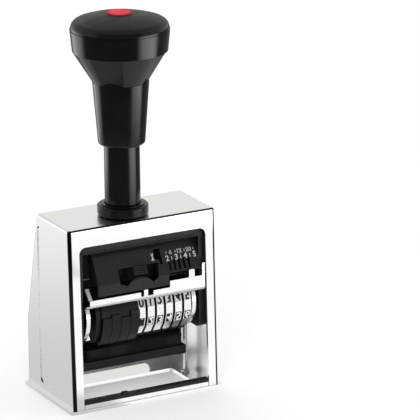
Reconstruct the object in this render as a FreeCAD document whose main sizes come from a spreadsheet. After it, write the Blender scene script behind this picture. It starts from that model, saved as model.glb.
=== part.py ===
import FreeCAD, Part
import math
import os

import Sketcher

# Hand-pressed numbering machine. Millimetres, +Z up, the sole stands on Z = 0 and the window faces -Y.
# X = 0 is the middle of the housing. Y = 0 is the middle of the whole machine, front to back.

SIZES = {
    # chrome housing
    "housing_width": 70.0,
    "housing_height": 81.0,
    "top_depth": 30.9,
    "front_lean": 2.4,
    "rear_flare": 11.85,
    "kink_height": 30.0,
    "wall": 1.2,
    "housing_corner": 1.4,
    "top_edge_round": 1.0,
    "window_side_margin": 4.8,
    "window_top_drop": 8.0,
    "window_corner": 3.0,
    "rear_window_side_margin": 11.0,
    "rear_window_low": 3.0,
    "rear_window_high": 21.5,
    "side_panel_length": 22.8,
    "side_panel_front": 4.5,
    "side_panel_low": 5.0,
    "side_panel_top_gap": 5.0,
    "side_panel_corner": 2.5,
    "side_panel_recess": 0.4,
    # sole with the printing opening
    "sole_thickness": 1.5,
    "sole_lip": 1.5,
    "sole_front_lip": 0.5,
    "sole_corner": 1.8,
    "print_opening_margin": 1.15,
    "print_opening_front": 11.0,
    "print_opening_length": 25.2,
    "print_opening_corner": 1.0,
    "front_bar_height": 3.5,
    "front_bar_depth": 2.6,
    "front_bar_end_gap": 0.4,
    "sight_nub_width": 2.6,
    "sight_nub_height": 1.0,
    "sight_nub_depth": 1.4,
    "sight_nub_place": 10.6,
    # guide rods and their screws
    "guide_rod_radius": 1.0,
    "guide_rod_setback": 7.2,
    "rod_foot_radius": 1.9,
    "rod_foot_height": 1.0,
    "rod_screw_radius": 0.6,
    "rod_screw_head_radius": 1.5,
    "rod_screw_head_height": 0.8,
    "rod_screw_length": 6.0,
    # tube, ring nut and lock ring
    "handle_shift": -2.9,
    "handle_setback": 12.2,
    "tube_radius": 7.65,
    "tube_wall": 1.0,
    "tube_top_gap": 1.5,
    "tube_seat_rise": 3.0,
    "ring_nut_radius": 9.0,
    "ring_nut_height": 3.0,
    "ring_nut_notch": 2.0,
    "lock_ring_radius": 11.0,
    "lock_ring_height": 4.9,
    "lock_ring_lift": 0.3,
    "lock_ring_round": 0.9,
    "lock_ring_step": 0.5,
    "lock_ring_step_radius": 9.3,
    # handle
    "stroke": 24.5,
    "press_end_gap": 1.5,
    "sleeve_length": 27.4,
    "cone_height": 13.4,
    "band_height": 9.2,
    "cap_height": 6.8,
    "knob_roof": 12.2,
    "knob_radius": 21.25,
    "band_low_radius": 20.3,
    "cap_inset": 0.35,
    "cap_rim_round": 3.6,
    "dome_radius": 60.0,
    "cone_low_radius": 12.0,
    "cone_facet_low": 11.0,
    "cone_facet_high": 18.9,
    "cone_facet_turn": 45.0,
    "cone_foot_height": 4.5,
    "sleeve_top_radius": 12.1,
    "sleeve_bottom_radius": 10.1,
    "sleeve_round": 1.4,
    "sleeve_bore_gap": 0.3,
    "plunger_radius": 4.0,
    "plunger_seat_depth": 8.0,
    "dot_radius": 5.3,
    "dot_rise": 0.5,
    "dot_round": 0.45,
    "dot_depth": 1.5,
    "knob_screw_radius": 1.5,
    "knob_screw_head_radius": 3.0,
    "knob_screw_head_height": 1.8,
    "knob_screw_length": 10.0,
    # return spring
    "spring_wire_radius": 0.4,
    "spring_coil_radius": 5.3,
    # printing head
    "head_top_gap": 0.5,
    "head_bottom_rise": 0.8,
    "head_front": 10.4,
    "head_rear": 12.0,
    "lintel_drop": 4.0,
    "lintel_bead_radius": 0.5,
    "lintel_bead_end_gap": 1.4,
    "cheek_thickness": 4.4,
    "cheek_wall_gap": 1.55,
    "cheek_bottom": 27.4,
    "cheek_rear": 11.0,
    "cheek_round": 3.0,
    "console_angle": 26.565,
    "console_low_front": 12.6,
    "console_drop": 17.8,
    "console_length": 14.8,
    "console_thickness": 1.6,
    "console_pocket_setback": 6.3,
    "console_deep_setback": 4.1,
    "comb_slot_width": 1.1,
    "comb_slot_length": 4.6,
    "comb_slot_pitch": 2.3,
    "comb_right_gap": 5.05,
    "comb_low": 1.0,
    "count_slot_gap": 21.15,
    "count_slot_width": 3.3,
    "count_slot_tail_width": 1.4,
    "count_slot_low": 4.2,
    "count_slot_step": 6.6,
    "count_slot_high": 11.3,
    # finger plate and thumb slide
    "finger_plate_left_gap": 5.85,
    "finger_plate_right_gap": 15.95,
    "finger_plate_rise": 12.2,
    "finger_plate_thickness": 0.9,
    "finger_skirt_drop": 4.9,
    "well_left_share": 0.307,
    "well_right_share": 0.112,
    "well_right_lean": 1.3,
    "well_shoulder_drop": 0.8,
    "well_corner_drop": 2.4,
    "hump_rise": 0.9,
    "hump_half_share": 0.307,
    "well_rise": 5.2,
    "thumb_place_share": 0.34,
    "thumb_width_share": 0.33,
    "thumb_gap": 0.3,
    "thumb_proud": 1.3,
    "thumb_ridge_radius": 0.45,
    "thumb_foot_margin": 0.9,
    "thumb_foot_thickness": 0.8,
    # wheels
    "wheel_axis_setback": 2.5,
    "type_height": 0.4,
    "wheel_flat_distance": 14.3,
    "ratchet_thickness": 0.82,
    "ratchet_radius": 11.0,
    "ratchet_depth": 1.5,
    "side_gap": 0.3,
    "running_gap": 0.05,
    "shaft_radius": 2.5,
    "shaft_end_gap": 0.5,
    "clip_thickness": 0.7,
    "clip_radius": 4.0,
    "clip_groove_depth": 0.5,
    "clip_mouth": 3.4,
    "spacer_radius": 4.2,
    "spacer_length": 11.14,
    "cover_radius": 14.9,
    "cover_skin": 0.5,
    "cover_band_height": 0.9,
    "cover_band_gap": 0.25,
    "cover_low_angle": 50.0,
    "cover_high_angle": 60.0,
    "cover_guard_angle": 28.0,
    "cover_band_1_angle": 3.0,
    "cover_band_2_angle": 6.8,
    "cover_band_3_angle": 0.8,
    "cover_band_4_angle": 9.5,
    "cover_left_gap": 7.65,
    "cover_right_gap": 25.35,
    # feed frame, pawls and detents
    "feed_disc_radius": 13.0,
    "feed_disc_thickness": 1.8,
    "feed_bar_radius": 14.9,
    "feed_bar_depth": 1.2,
    "feed_bar_width": 5.0,
    "feed_bar_angle": 60.0,
    "pawl_thickness": 0.5,
    "pawl_tip_gap": 0.3,
    "pawl_width": 2.4,
    "detent_thickness": 0.4,
    "detent_place": 3.2,
    "detent_strip_width": 1.4,
    # bail
    "bail_arm_thickness": 0.9,
    "bail_front": 13.15,
    "bail_thickness": 0.9,
    "bail_bottom": 45.0,
    "bail_roll": 1.6,
    "bail_roll_angle": 70.0,
    "bail_left_top": 49.0,
    "bail_right_top": 51.9,
    "bail_step_gap": 16.0,
    "bail_notch_gap": 29.4,
    "bail_notch_width": 6.0,
    "bail_tooth_place": 1.45,
    "bail_tooth_width": 1.9,
    "bail_tooth_top": 49.9,
    "bail_end_overhang": 1.85,
    "bail_left_gap": 1.65,
    "bail_left_tab_width": 1.6,
    "bail_left_tab_top": 53.0,
    "bail_left_tab_lean": 4.4,
    "bail_tab_width": 1.3,
    "bail_tab_top": 57.6,
    "bail_hub_radius": 4.5,
    # ink pad
    "pad_arm_thickness": 0.7,
    "pad_face_distance": 15.2,
    "tray_bottom_distance": 25.0,
    "tray_rim_distance": 20.7,
    "tray_half_length": 7.2,
    "tray_wall": 1.0,
    "tray_corner": 1.5,
    "pad_hub_radius": 5.0,
    "felt_gap": 0.2,
    # pointer
    "pointer_width": 2.7,
    "pointer_height": 1.8,
    "pointer_front": 13.7,
    "pointer_tip_thickness": 0.7,
    "pointer_tip_height": 3.3,
    "pointer_tip_round": 0.6,
    "pointer_rear": 8.0,
    "pointer_drop": 0.4,
    "rail_radius": 0.6,
    "rail_setback": 9.2,
    "rail_lug_width": 1.3,
    "pointer_run": 9.2,
    # screws of the cheeks
    "cheek_screw_radius": 0.9,
    "cheek_screw_head_radius": 1.8,
    "cheek_screw_head_height": 0.9,
    "cheek_screw_length": 8.0,
    # running of cuts past a face
    "overrun": 2.0,
}

WHEEL_COUNT = 8
NUMERALS = 10
COMB_SLOTS = 5
COVER_BANDS = 4
RIDGES = 4
NUT_NOTCHES = 4
CONE_FACETS = 4
SPRING_TURNS = 9
RATCHET_RISE_SHARE = 0.9

doc = FreeCAD.newDocument("numbering_machine")
sheet = doc.addObject("Spreadsheet::Sheet", "sizes")
for row, (alias, value) in enumerate(SIZES.items(), start=1):
    sheet.set(f"A{row}", alias)
    sheet.set(f"B{row}", str(value))
    sheet.setAlias(f"B{row}", alias)
doc.recompute()


class Size:
    """A length, angle or sum of them: its number now, and the expression that gives it from the sheet."""

    def __init__(self, number, text):
        self.number = float(number)
        self.text = text

    def __add__(self, other):
        other = as_size(other)
        return Size(self.number + other.number, f"({self.text} + {other.text})")

    def __sub__(self, other):
        other = as_size(other)
        return Size(self.number - other.number, f"({self.text} - {other.text})")

    def __mul__(self, other):
        other = as_size(other)
        return Size(self.number * other.number, f"({self.text} * {other.text})")

    def __truediv__(self, other):
        other = as_size(other)
        return Size(self.number / other.number, f"({self.text} / {other.text})")

    def __neg__(self):
        return Size(-self.number, f"(0 - {self.text})")

    __radd__ = __add__
    __rmul__ = __mul__

    def __rsub__(self, other):
        return as_size(other) - self


def as_size(value):
    return value if isinstance(value, Size) else Size(value, repr(float(value)))


def size(alias):
    return Size(sheet.get(alias), f"sizes.{alias}")


def sine(angle):
    angle = as_size(angle)
    return Size(math.sin(math.radians(angle.number)), f"sin({angle.text})")


def cosine(angle):
    angle = as_size(angle)
    return Size(math.cos(math.radians(angle.number)), f"cos({angle.text})")


def root(value):
    return Size(math.sqrt(value.number), f"sqrt({value.text})")


def bind(thing, prop, value):
    thing.setExpression(prop, as_size(value).text)


# Bodies, sketches and their features

nodes = []
cuts = []


def node(name, thing):
    """Counts a finished sub-part, and labels it with its node name."""
    thing.Label = name
    nodes.append(thing)
    return thing


def new_body(name, place=(0, 0, 0), tilt=0, about=(1, 0, 0)):
    """A body whose origin stands at place, turned by tilt degrees about X or the given axis."""
    body = doc.addObject("PartDesign::Body", name)
    for axis, value in zip("xyz", place):
        bind(body, f"Placement.Base.{axis}", value)
    if tilt != 0:
        body.Placement = FreeCAD.Placement(FreeCAD.Vector(), FreeCAD.Vector(*about), as_size(tilt).number)
        bind(body, "Placement.Rotation.Angle", tilt)
    return body


def part_of_origin(body, role):
    return next(f for f in body.Origin.OriginFeatures if f.Role == role)


def new_sketch(body, plane, height):
    sketch = body.newObject("Sketcher::SketchObject", body.Name + "_sketch")
    sketch.AttachmentSupport = [(part_of_origin(body, plane), "")]
    sketch.MapMode = "FlatFace"
    bind(sketch, "AttachmentOffset.Base.z", height)
    return sketch


def fix(sketch, kind, place, value):
    """Adds one dimension to a sketch and binds it to its expression."""
    value = as_size(value)
    index = sketch.addConstraint(Sketcher.Constraint(kind, *place, value.number))
    sketch.setExpression(f"Constraints[{index}]", value.text)


def fix_point(sketch, piece, corner, point):
    fix(sketch, "DistanceX", (-1, 1, piece, corner), point[0])
    fix(sketch, "DistanceY", (-1, 1, piece, corner), point[1])


def arc_between(first, last, radius):
    """The arc under a half circle from first to last: to the left where radius is positive."""
    chord = last - first
    rise = math.sqrt(max(radius * radius - chord.Length ** 2 / 4, 0.0))
    left = FreeCAD.Vector(-chord.y, chord.x, 0).normalize()
    centre = first + chord / 2 + left * math.copysign(rise, radius)
    low, high = (first, last) if radius > 0 else (last, first)
    start = math.atan2(low.y - centre.y, low.x - centre.x)
    end = math.atan2(high.y - centre.y, high.x - centre.x)
    circle = Part.Circle(centre, FreeCAD.Vector(0, 0, 1), abs(radius))
    return Part.ArcOfCircle(circle, start, end)


def loop(sketch, points):
    """Closes an outline through points (across, up), or (across, up, radius) where an arc ends there."""
    spots = [FreeCAD.Vector(as_size(p[0]).number, as_size(p[1]).number, 0) for p in points]
    pieces = []
    for index, point in enumerate(points):
        first, last = spots[index - 1], spots[index]
        if len(point) == 3:
            radius = as_size(point[2])
            piece = sketch.addGeometry(arc_between(first, last, radius.number))
            fix(sketch, "Radius", (piece,), radius if radius.number > 0 else -radius)
            pieces.append((piece, 1, 2) if radius.number > 0 else (piece, 2, 1))
        else:
            piece = sketch.addGeometry(Part.LineSegment(first, last))
            pieces.append((piece, 1, 2))
    for index, (piece, begin, end) in enumerate(pieces):
        following, next_begin, _ = pieces[(index + 1) % len(pieces)]
        sketch.addConstraint(Sketcher.Constraint("Coincident", piece, end, following, next_begin))
        fix_point(sketch, piece, end, points[index])


def circle(sketch, centre, radius):
    spot = FreeCAD.Vector(as_size(centre[0]).number, as_size(centre[1]).number, 0)
    piece = sketch.addGeometry(Part.Circle(spot, FreeCAD.Vector(0, 0, 1), as_size(radius).number))
    fix(sketch, "Radius", (piece,), radius)
    fix_point(sketch, piece, 3, centre)


def rectangle(left, right, low, high):
    return [(left, low), (right, low), (right, high), (left, high)]


def rounded_rectangle(left, right, low, high, radius):
    """The outline with four rounded corners, run counterclockwise from the lower right."""
    return [
        (right - radius, low),
        (right, low + radius, radius),
        (right, high - radius),
        (right - radius, high, radius),
        (left + radius, high),
        (left, high - radius, radius),
        (left, low + radius),
        (left + radius, low, radius),
    ]


def draw(sketch, shapes):
    """Draws outlines, given as lists of points, and circles, given as (centre, radius)."""
    for shape in shapes:
        if isinstance(shape, list):
            loop(sketch, shape)
        else:
            circle(sketch, *shape)


def raise_between(body, plane, low, high, *shapes):
    """Pads an outline along its plane's axis from low to high."""
    low, high = as_size(low), as_size(high)
    sketch = new_sketch(body, plane, -high if plane == "XZ_Plane" else low)
    draw(sketch, shapes)
    pad = body.newObject("PartDesign::Pad", body.Name + "_pad")
    pad.Profile = sketch
    bind(pad, "Length", high - low)
    return pad


def cut_between(body, plane, low, high, *shapes):
    """Pockets an outline along its plane's axis from low to high."""
    low, high = as_size(low), as_size(high)
    sketch = new_sketch(body, plane, -low if plane == "XZ_Plane" else high)
    draw(sketch, shapes)
    pocket = body.newObject("PartDesign::Pocket", body.Name + "_pocket")
    pocket.Profile = sketch
    bind(pocket, "Length", high - low)
    cuts.append(pocket)
    return pocket


def turn(body, plane, axis, shape):
    """Revolves an outline fully about one of the body's own axes."""
    sketch = new_sketch(body, plane, 0)
    loop(sketch, shape)
    revolution = body.newObject("PartDesign::Revolution", body.Name + "_turn")
    revolution.Profile = sketch
    revolution.ReferenceAxis = (part_of_origin(body, axis), [""])
    revolution.Angle = 360
    return revolution


def turned(name, place, shape):
    """A piece turned about the vertical through place, from its outline of (radius, height)."""
    body = new_body(name, place)
    turn(body, "XZ_Plane", "Z_Axis", shape)
    return body


def turned_across(name, place, shape):
    """A piece turned about the line along X through place, from its outline of (along, radius)."""
    body = new_body(name, place)
    turn(body, "XY_Plane", "X_Axis", shape)
    return body


def round_off(body, radius, wanted):
    """Fillets the edges of the body so far for which wanted(edge) is true."""
    doc.recompute()
    base = body.Tip
    names = [f"Edge{i}" for i, edge in enumerate(base.Shape.Edges, start=1) if wanted(edge)]
    fillet = body.newObject("PartDesign::Fillet", body.Name + "_fillet")
    fillet.Base = (base, names)
    bind(fillet, "Radius", radius)
    return fillet


def repeat_around(body, feature, axis, count):
    pattern = body.newObject("PartDesign::PolarPattern", body.Name + "_pattern")
    pattern.Originals = [feature]
    pattern.Axis = (part_of_origin(body, axis), [""])
    pattern.Angle = 360
    pattern.Occurrences = count
    body.Tip = pattern
    return pattern


def group(name, pieces):
    """Separate solids that share one node."""
    compound = doc.addObject("Part::Compound", name)
    compound.Links = pieces
    return node(name, compound)


# Places that several pieces share

overrun = size("overrun")
wall = size("wall")
side_gap = size("side_gap")
running_gap = size("running_gap")
half_width = size("housing_width") / 2
housing_top = size("housing_height")
sole_top = size("sole_thickness")
under_top = housing_top - wall
window_top = housing_top - size("window_top_drop")

handle_x = size("handle_shift")
rear_reach = size("top_depth") + size("rear_flare") + size("sole_lip") - size("handle_setback")
handle_y = (size("knob_radius") - rear_reach) / 2
front_top = handle_y - size("handle_setback")
front_low = front_top - size("front_lean")
rear_top = front_top + size("top_depth")
rear_low = rear_top + size("rear_flare")
handle_place = (handle_x, handle_y, 0)
lock_ring_low = housing_top + size("lock_ring_lift")
lock_ring_top = lock_ring_low + size("lock_ring_height")
sleeve_bottom = lock_ring_top + size("stroke") + size("press_end_gap")
cone_bottom = sleeve_bottom + size("sleeve_length")
band_bottom = cone_bottom + size("cone_height")
cap_seam = band_bottom + size("band_height")
dome_top = cap_seam + size("cap_height")
handle_ceiling = cap_seam - size("knob_roof")
tube_top = handle_ceiling - size("stroke") - size("tube_top_gap")
tube_seat = housing_top + size("tube_seat_rise")
nut_bottom = under_top - size("ring_nut_height")
plunger_foot = nut_bottom - size("head_top_gap") - size("plunger_seat_depth")

wheel_y = handle_y + size("wheel_axis_setback")
wheel_z = size("stroke") + size("wheel_flat_distance") + size("type_height")
wheel_place = (0, wheel_y, wheel_z)

cheek_outer = half_width - wall - size("cheek_wall_gap")
cheek_inner = cheek_outer - size("cheek_thickness")
bail_arm_outer = cheek_inner - side_gap
bail_arm_inner = bail_arm_outer - size("bail_arm_thickness")
feed_disc_outer = bail_arm_inner - side_gap
feed_disc_inner = feed_disc_outer - size("feed_disc_thickness")
pad_arm_outer = feed_disc_inner - side_gap
pad_arm_inner = pad_arm_outer - size("pad_arm_thickness")
wheel_pitch = (2 * pad_arm_inner - 2 * side_gap - size("spacer_length")) / WHEEL_COUNT
wheel_width = wheel_pitch - size("ratchet_thickness") - side_gap
last_wheel = pad_arm_inner - side_gap - wheel_width / 2
first_wheel = last_wheel - (WHEEL_COUNT - 1) * wheel_pitch
bore_radius = size("shaft_radius") + running_gap

rod_x = (cheek_inner + cheek_outer) / 2
rod_y = handle_y + size("guide_rod_setback")
head_top = under_top - size("head_top_gap")

console_y = handle_y - size("console_low_front")
console_z = window_top - size("console_drop")
head_bottom = console_z + size("head_bottom_rise")
lintel_bottom = window_top - size("lintel_drop")
console_tilt = 90 - size("console_angle")
slope_run = sine(size("console_angle"))
slope_rise = cosine(size("console_angle"))
finger_left = size("finger_plate_left_gap") - cheek_inner
finger_right = cheek_inner - size("finger_plate_right_gap")
well_left = finger_left + (finger_right - finger_left) * size("well_left_share")
well_right = finger_right - (finger_right - finger_left) * size("well_right_share")
well_width = well_right - well_left
well_top = console_z + size("well_rise")
count_slot_left = cheek_inner - size("count_slot_gap")
comb_last = cheek_inner - size("comb_right_gap")
comb_first = comb_last - (COMB_SLOTS - 1) * size("comb_slot_pitch")


def on_console(up, out):
    """The (y, z) of a point up along the console's face and out in front of it."""
    return (
        console_y + up * slope_run - out * slope_rise,
        console_z + up * slope_rise + out * slope_run,
    )


# Housing and sole

def make_housing_shell():
    body = new_body("housing_shell")
    outer = [
        (front_low, sole_top),
        (rear_low, sole_top),
        (rear_low, size("kink_height")),
        (rear_top, housing_top),
        (front_top, housing_top),
    ]
    raise_between(body, "YZ_Plane", -half_width, half_width, outer)
    round_off(body, size("housing_corner"), is_corner_edge)
    round_off(body, size("top_edge_round"), lambda edge: edge.BoundBox.ZMin > housing_top.number - 1e-3)
    inner = [
        (front_low + wall, sole_top - overrun),
        (rear_low - wall, sole_top - overrun),
        (rear_low - wall, size("kink_height")),
        (rear_top - wall, under_top),
        (front_top + wall, under_top),
        (front_low + wall, sole_top),
    ]
    cut_between(body, "YZ_Plane", wall - half_width, half_width - wall, inner)
    window = half_width - size("window_side_margin")
    corner = size("window_corner")
    opening = [
        (window, sole_top - overrun),
        (window, window_top - corner),
        (window - corner, window_top, corner),
        (corner - window, window_top),
        (-window, window_top - corner, corner),
        (-window, sole_top - overrun),
    ]
    cut_between(body, "XZ_Plane", front_low - overrun, front_top + wall + overrun, opening)
    rear = half_width - size("rear_window_side_margin")
    opening = rounded_rectangle(-rear, rear, size("rear_window_low"), size("rear_window_high"), corner)
    cut_between(body, "XZ_Plane", rear_top - wall, rear_low + overrun, opening)
    hole = ((handle_x, handle_y), size("tube_radius") + running_gap)
    cut_between(body, "XY_Plane", under_top - overrun, housing_top + overrun, hole)
    front = handle_y - size("side_panel_front")
    pressed = rounded_rectangle(
        front,
        front + size("side_panel_length"),
        size("side_panel_low"),
        housing_top - size("side_panel_top_gap"),
        size("side_panel_corner"),
    )
    recess = size("side_panel_recess")
    cut_between(body, "YZ_Plane", half_width - recess, half_width + overrun, pressed)
    cut_between(body, "YZ_Plane", -half_width - overrun, recess - half_width, pressed)
    return node("housing_shell", body)


def is_corner_edge(edge):
    """The edges that run up the four corners of the housing."""
    box = edge.BoundBox
    return box.ZLength > wall.number and box.XLength < 1e-3


def make_base_frame():
    body = new_body("base_frame")
    lip = size("sole_lip")
    plate = rounded_rectangle(
        -half_width - lip,
        half_width + lip,
        front_low - size("sole_front_lip"),
        rear_low + lip,
        size("sole_corner"),
    )
    raise_between(body, "XY_Plane", 0, sole_top, plate)
    bar = half_width - size("window_side_margin") - size("front_bar_end_gap")
    bar_rear = front_low + size("front_bar_depth")
    bar_top = sole_top + size("front_bar_height")
    raise_between(body, "XY_Plane", sole_top, bar_top, rectangle(-bar, bar, front_low, bar_rear))
    nub = -size("sight_nub_place")
    half_nub = size("sight_nub_width") / 2
    nub_outline = rectangle(nub - half_nub, nub + half_nub, front_low, front_low + size("sight_nub_depth"))
    raise_between(body, "XY_Plane", bar_top, bar_top + size("sight_nub_height"), nub_outline)
    half_opening = rod_x - size("rod_foot_radius") - size("print_opening_margin")
    opening_front = handle_y - size("print_opening_front")
    opening = rounded_rectangle(
        -half_opening,
        half_opening,
        opening_front,
        opening_front + size("print_opening_length"),
        size("print_opening_corner"),
    )
    cut_between(body, "XY_Plane", -overrun, sole_top + overrun, opening)
    hole = size("rod_screw_radius") + running_gap
    head = size("rod_screw_head_radius") + running_gap
    for side in (-1, 1):
        place = (side * rod_x, rod_y)
        cut_between(body, "XY_Plane", -overrun, sole_top + overrun, (place, hole))
        cut_between(body, "XY_Plane", -overrun, size("rod_screw_head_height"), (place, head))
    return node("base_frame", body)


def make_guide_rod(name, side):
    radius = size("guide_rod_radius")
    foot = size("rod_foot_radius")
    foot_top = size("rod_foot_height")
    length = under_top - sole_top
    hole = size("rod_screw_radius")
    hole_top = size("rod_screw_length") - sole_top + size("rod_screw_head_height")
    outline = [
        (hole, 0),
        (foot, 0),
        (foot, foot_top),
        (radius, foot_top),
        (radius, length),
        (0, length),
        (0, hole_top),
        (hole, hole_top),
    ]
    return node(name, turned(name, (side * rod_x, rod_y, sole_top), outline))


def make_base_screws():
    screws = []
    shank = size("rod_screw_radius")
    head = size("rod_screw_head_radius")
    head_top = size("rod_screw_head_height")
    for side in (-1, 1):
        outline = [(0, 0), (head, 0), (head, head_top), (shank, head_top)]
        outline += [(shank, size("rod_screw_length")), (0, size("rod_screw_length"))]
        screws.append(turned("base_screw", (side * rod_x, rod_y, 0), outline))
    return group("base_screws", screws)


# Tube, ring nut and lock ring

def make_guide_tube():
    outer = size("tube_radius")
    inner = outer - size("tube_wall")
    rod_bore = size("plunger_radius") + 2 * running_gap
    outline = [
        (rod_bore, nut_bottom),
        (outer, nut_bottom),
        (outer, tube_top),
        (inner, tube_top),
        (inner, tube_seat),
        (rod_bore, tube_seat),
    ]
    return node("guide_tube", turned("guide_tube", handle_place, outline))


def make_tube_nut():
    body = new_body("tube_nut", handle_place)
    radius = size("ring_nut_radius")
    raise_between(body, "XY_Plane", nut_bottom, under_top, ((0, 0), radius), ((0, 0), size("tube_radius")))
    notch = size("ring_nut_notch") / 2
    depth = (radius - size("tube_radius")) / 2
    slot = rectangle(radius - depth, radius + overrun, -notch, notch)
    middle = (nut_bottom + under_top) / 2
    cut = cut_between(body, "XY_Plane", nut_bottom - overrun, middle, slot)
    repeat_around(body, cut, "Z_Axis", NUT_NOTCHES)
    return node("tube_nut", body)


def make_lock_ring():
    inner = size("tube_radius") + side_gap
    outer = size("lock_ring_radius")
    soft = size("lock_ring_round")
    step = size("lock_ring_step_radius")
    shoulder = lock_ring_top - size("lock_ring_step")
    outline = [
        (inner, lock_ring_low),
        (outer - soft, lock_ring_low),
        (outer, lock_ring_low + soft, soft),
        (outer, shoulder - soft),
        (outer - soft, shoulder, soft),
        (step, shoulder),
        (step, lock_ring_top),
        (inner, lock_ring_top),
    ]
    return node("lock_ring", turned("lock_ring", handle_place, outline))


# Handle

def make_handle_sleeve():
    bore = size("tube_radius") + size("sleeve_bore_gap")
    soft = size("sleeve_round")
    outline = [
        (bore, sleeve_bottom),
        (size("sleeve_bottom_radius") - soft, sleeve_bottom),
        (size("sleeve_bottom_radius"), sleeve_bottom + soft, soft),
        (size("sleeve_top_radius"), cone_bottom),
        (bore, cone_bottom),
    ]
    return node("handle_sleeve", turned("handle_sleeve", handle_place, outline))


def make_knob_body():
    """The knob's cone has four flat facets, and runs down into a round foot."""
    body = new_body("knob_body", handle_place, size("cone_facet_turn"), (0, 0, 1))
    bore = size("tube_radius") + size("sleeve_bore_gap")
    outline = [
        (bore, cone_bottom),
        (size("cone_low_radius"), cone_bottom),
        (size("band_low_radius"), band_bottom),
        (size("knob_radius"), cap_seam),
        (size("plunger_radius"), cap_seam),
        (size("plunger_radius"), handle_ceiling),
        (bore, handle_ceiling),
    ]
    turn(body, "XZ_Plane", "Z_Axis", outline)
    low = cone_bottom - overrun
    high = band_bottom
    near = size("cone_facet_low")
    far = size("cone_facet_high")
    slope = (far - near) / (high - cone_bottom)
    reach = size("knob_radius") + overrun
    outside = [(slope * overrun - near, low), (-far, high), (-reach, high), (-reach, low)]
    cut = cut_between(body, "YZ_Plane", -reach, reach, outside)
    repeat_around(body, cut, "Z_Axis", CONE_FACETS)
    foot_top = cone_bottom + size("cone_foot_height")
    raise_between(body, "XY_Plane", cone_bottom, foot_top, ((0, 0), size("cone_low_radius")), ((0, 0), bore))
    return node("knob_body", body)


def dome_height(radius):
    """Height of the cap's dome at a distance from the knob's axis."""
    dome = size("dome_radius")
    return dome_top - dome + root(dome * dome - radius * radius)


def make_knob_cap():
    """Domed cap: a small rim arc runs from the upright edge into the dome without a corner."""
    radius = size("knob_radius") - size("cap_inset")
    dot = size("dot_radius")
    shank = size("knob_screw_head_radius") + running_gap
    rim = size("cap_rim_round")
    dome = size("dome_radius")
    rim_centre = radius - rim
    rise = root((dome - rim) * (dome - rim) - rim_centre * rim_centre)
    dome_centre = dome_top - dome
    stretch = dome / (dome - rim)
    outline = [
        (shank, cap_seam),
        (radius, cap_seam),
        (radius, dome_centre + rise),
        (rim_centre * stretch, dome_centre + rise * stretch, rim),
        (dot, dome_height(dot), dome),
        (dot, dome_height(dot) - size("dot_depth")),
        (shank, dome_height(dot) - size("dot_depth")),
    ]
    return node("knob_cap", turned("knob_cap", handle_place, outline))


def make_knob_dot():
    """A low button that stands in the cap and follows its dome."""
    dot = size("dot_radius")
    soft = size("dot_round")
    rise = size("dot_rise")
    low = dome_height(dot) - size("dot_depth")
    shoulder = dome_height(dot - soft) + rise
    outline = [
        (0, low),
        (dot, low),
        (dot, shoulder - soft),
        (dot - soft, shoulder, soft),
        (0, dome_top + rise, size("dome_radius")),
    ]
    return node("knob_dot", turned("knob_dot", handle_place, outline))


def make_knob_screw():
    head_high = cap_seam + size("knob_screw_head_height")
    shank = size("knob_screw_radius")
    head = size("knob_screw_head_radius")
    low = head_high - size("knob_screw_length")
    outline = [(0, low), (shank, low), (shank, cap_seam), (head, cap_seam), (head, head_high), (0, head_high)]
    return node("knob_screw", turned("knob_screw", handle_place, outline))


def make_plunger_rod():
    radius = size("plunger_radius")
    screw = size("knob_screw_radius")
    low = plunger_foot
    hole_low = cap_seam + size("knob_screw_head_height") - size("knob_screw_length")
    outline = [
        (0, low),
        (radius, low),
        (radius, cap_seam),
        (screw, cap_seam),
        (screw, hole_low),
        (0, hole_low),
    ]
    return node("plunger_rod", turned("plunger_rod", handle_place, outline))


def make_return_spring():
    """A coil of round wire on half-turn arcs, each tilted by a quarter of the pitch."""
    wire = size("spring_wire_radius").number
    coil = size("spring_coil_radius").number
    low = tube_seat.number + wire
    high = handle_ceiling.number - wire
    pitch = (high - low) / SPRING_TURNS
    half = math.hypot(coil, pitch / 4)
    arcs = []
    for turn_index in range(2 * SPRING_TURNS):
        side = 1 if turn_index % 2 == 0 else -1
        base = low + turn_index * pitch / 2
        first = FreeCAD.Vector(side * coil, 0, base)
        middle = FreeCAD.Vector(0, side * half, base + pitch / 4)
        last = FreeCAD.Vector(-side * coil, 0, base + pitch / 2)
        arcs.append(Part.Arc(first, middle, last).toShape())
    path = Part.Wire(arcs)
    start = FreeCAD.Vector(coil, 0, low)
    profile = Part.Wire(Part.Circle(start, FreeCAD.Vector(0, 1, 0), wire).toShape())
    spring = doc.addObject("Part::Feature", "return_spring")
    spring.Shape = path.makePipeShell([profile], True, False)
    spring.Placement = FreeCAD.Placement(
        FreeCAD.Vector(handle_x.number, handle_y.number, 0), FreeCAD.Rotation()
    )
    print("spring: gap between turns", round(pitch - 2 * wire, 3))
    return node("return_spring", spring)


# Head block, cheeks and shaft

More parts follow.
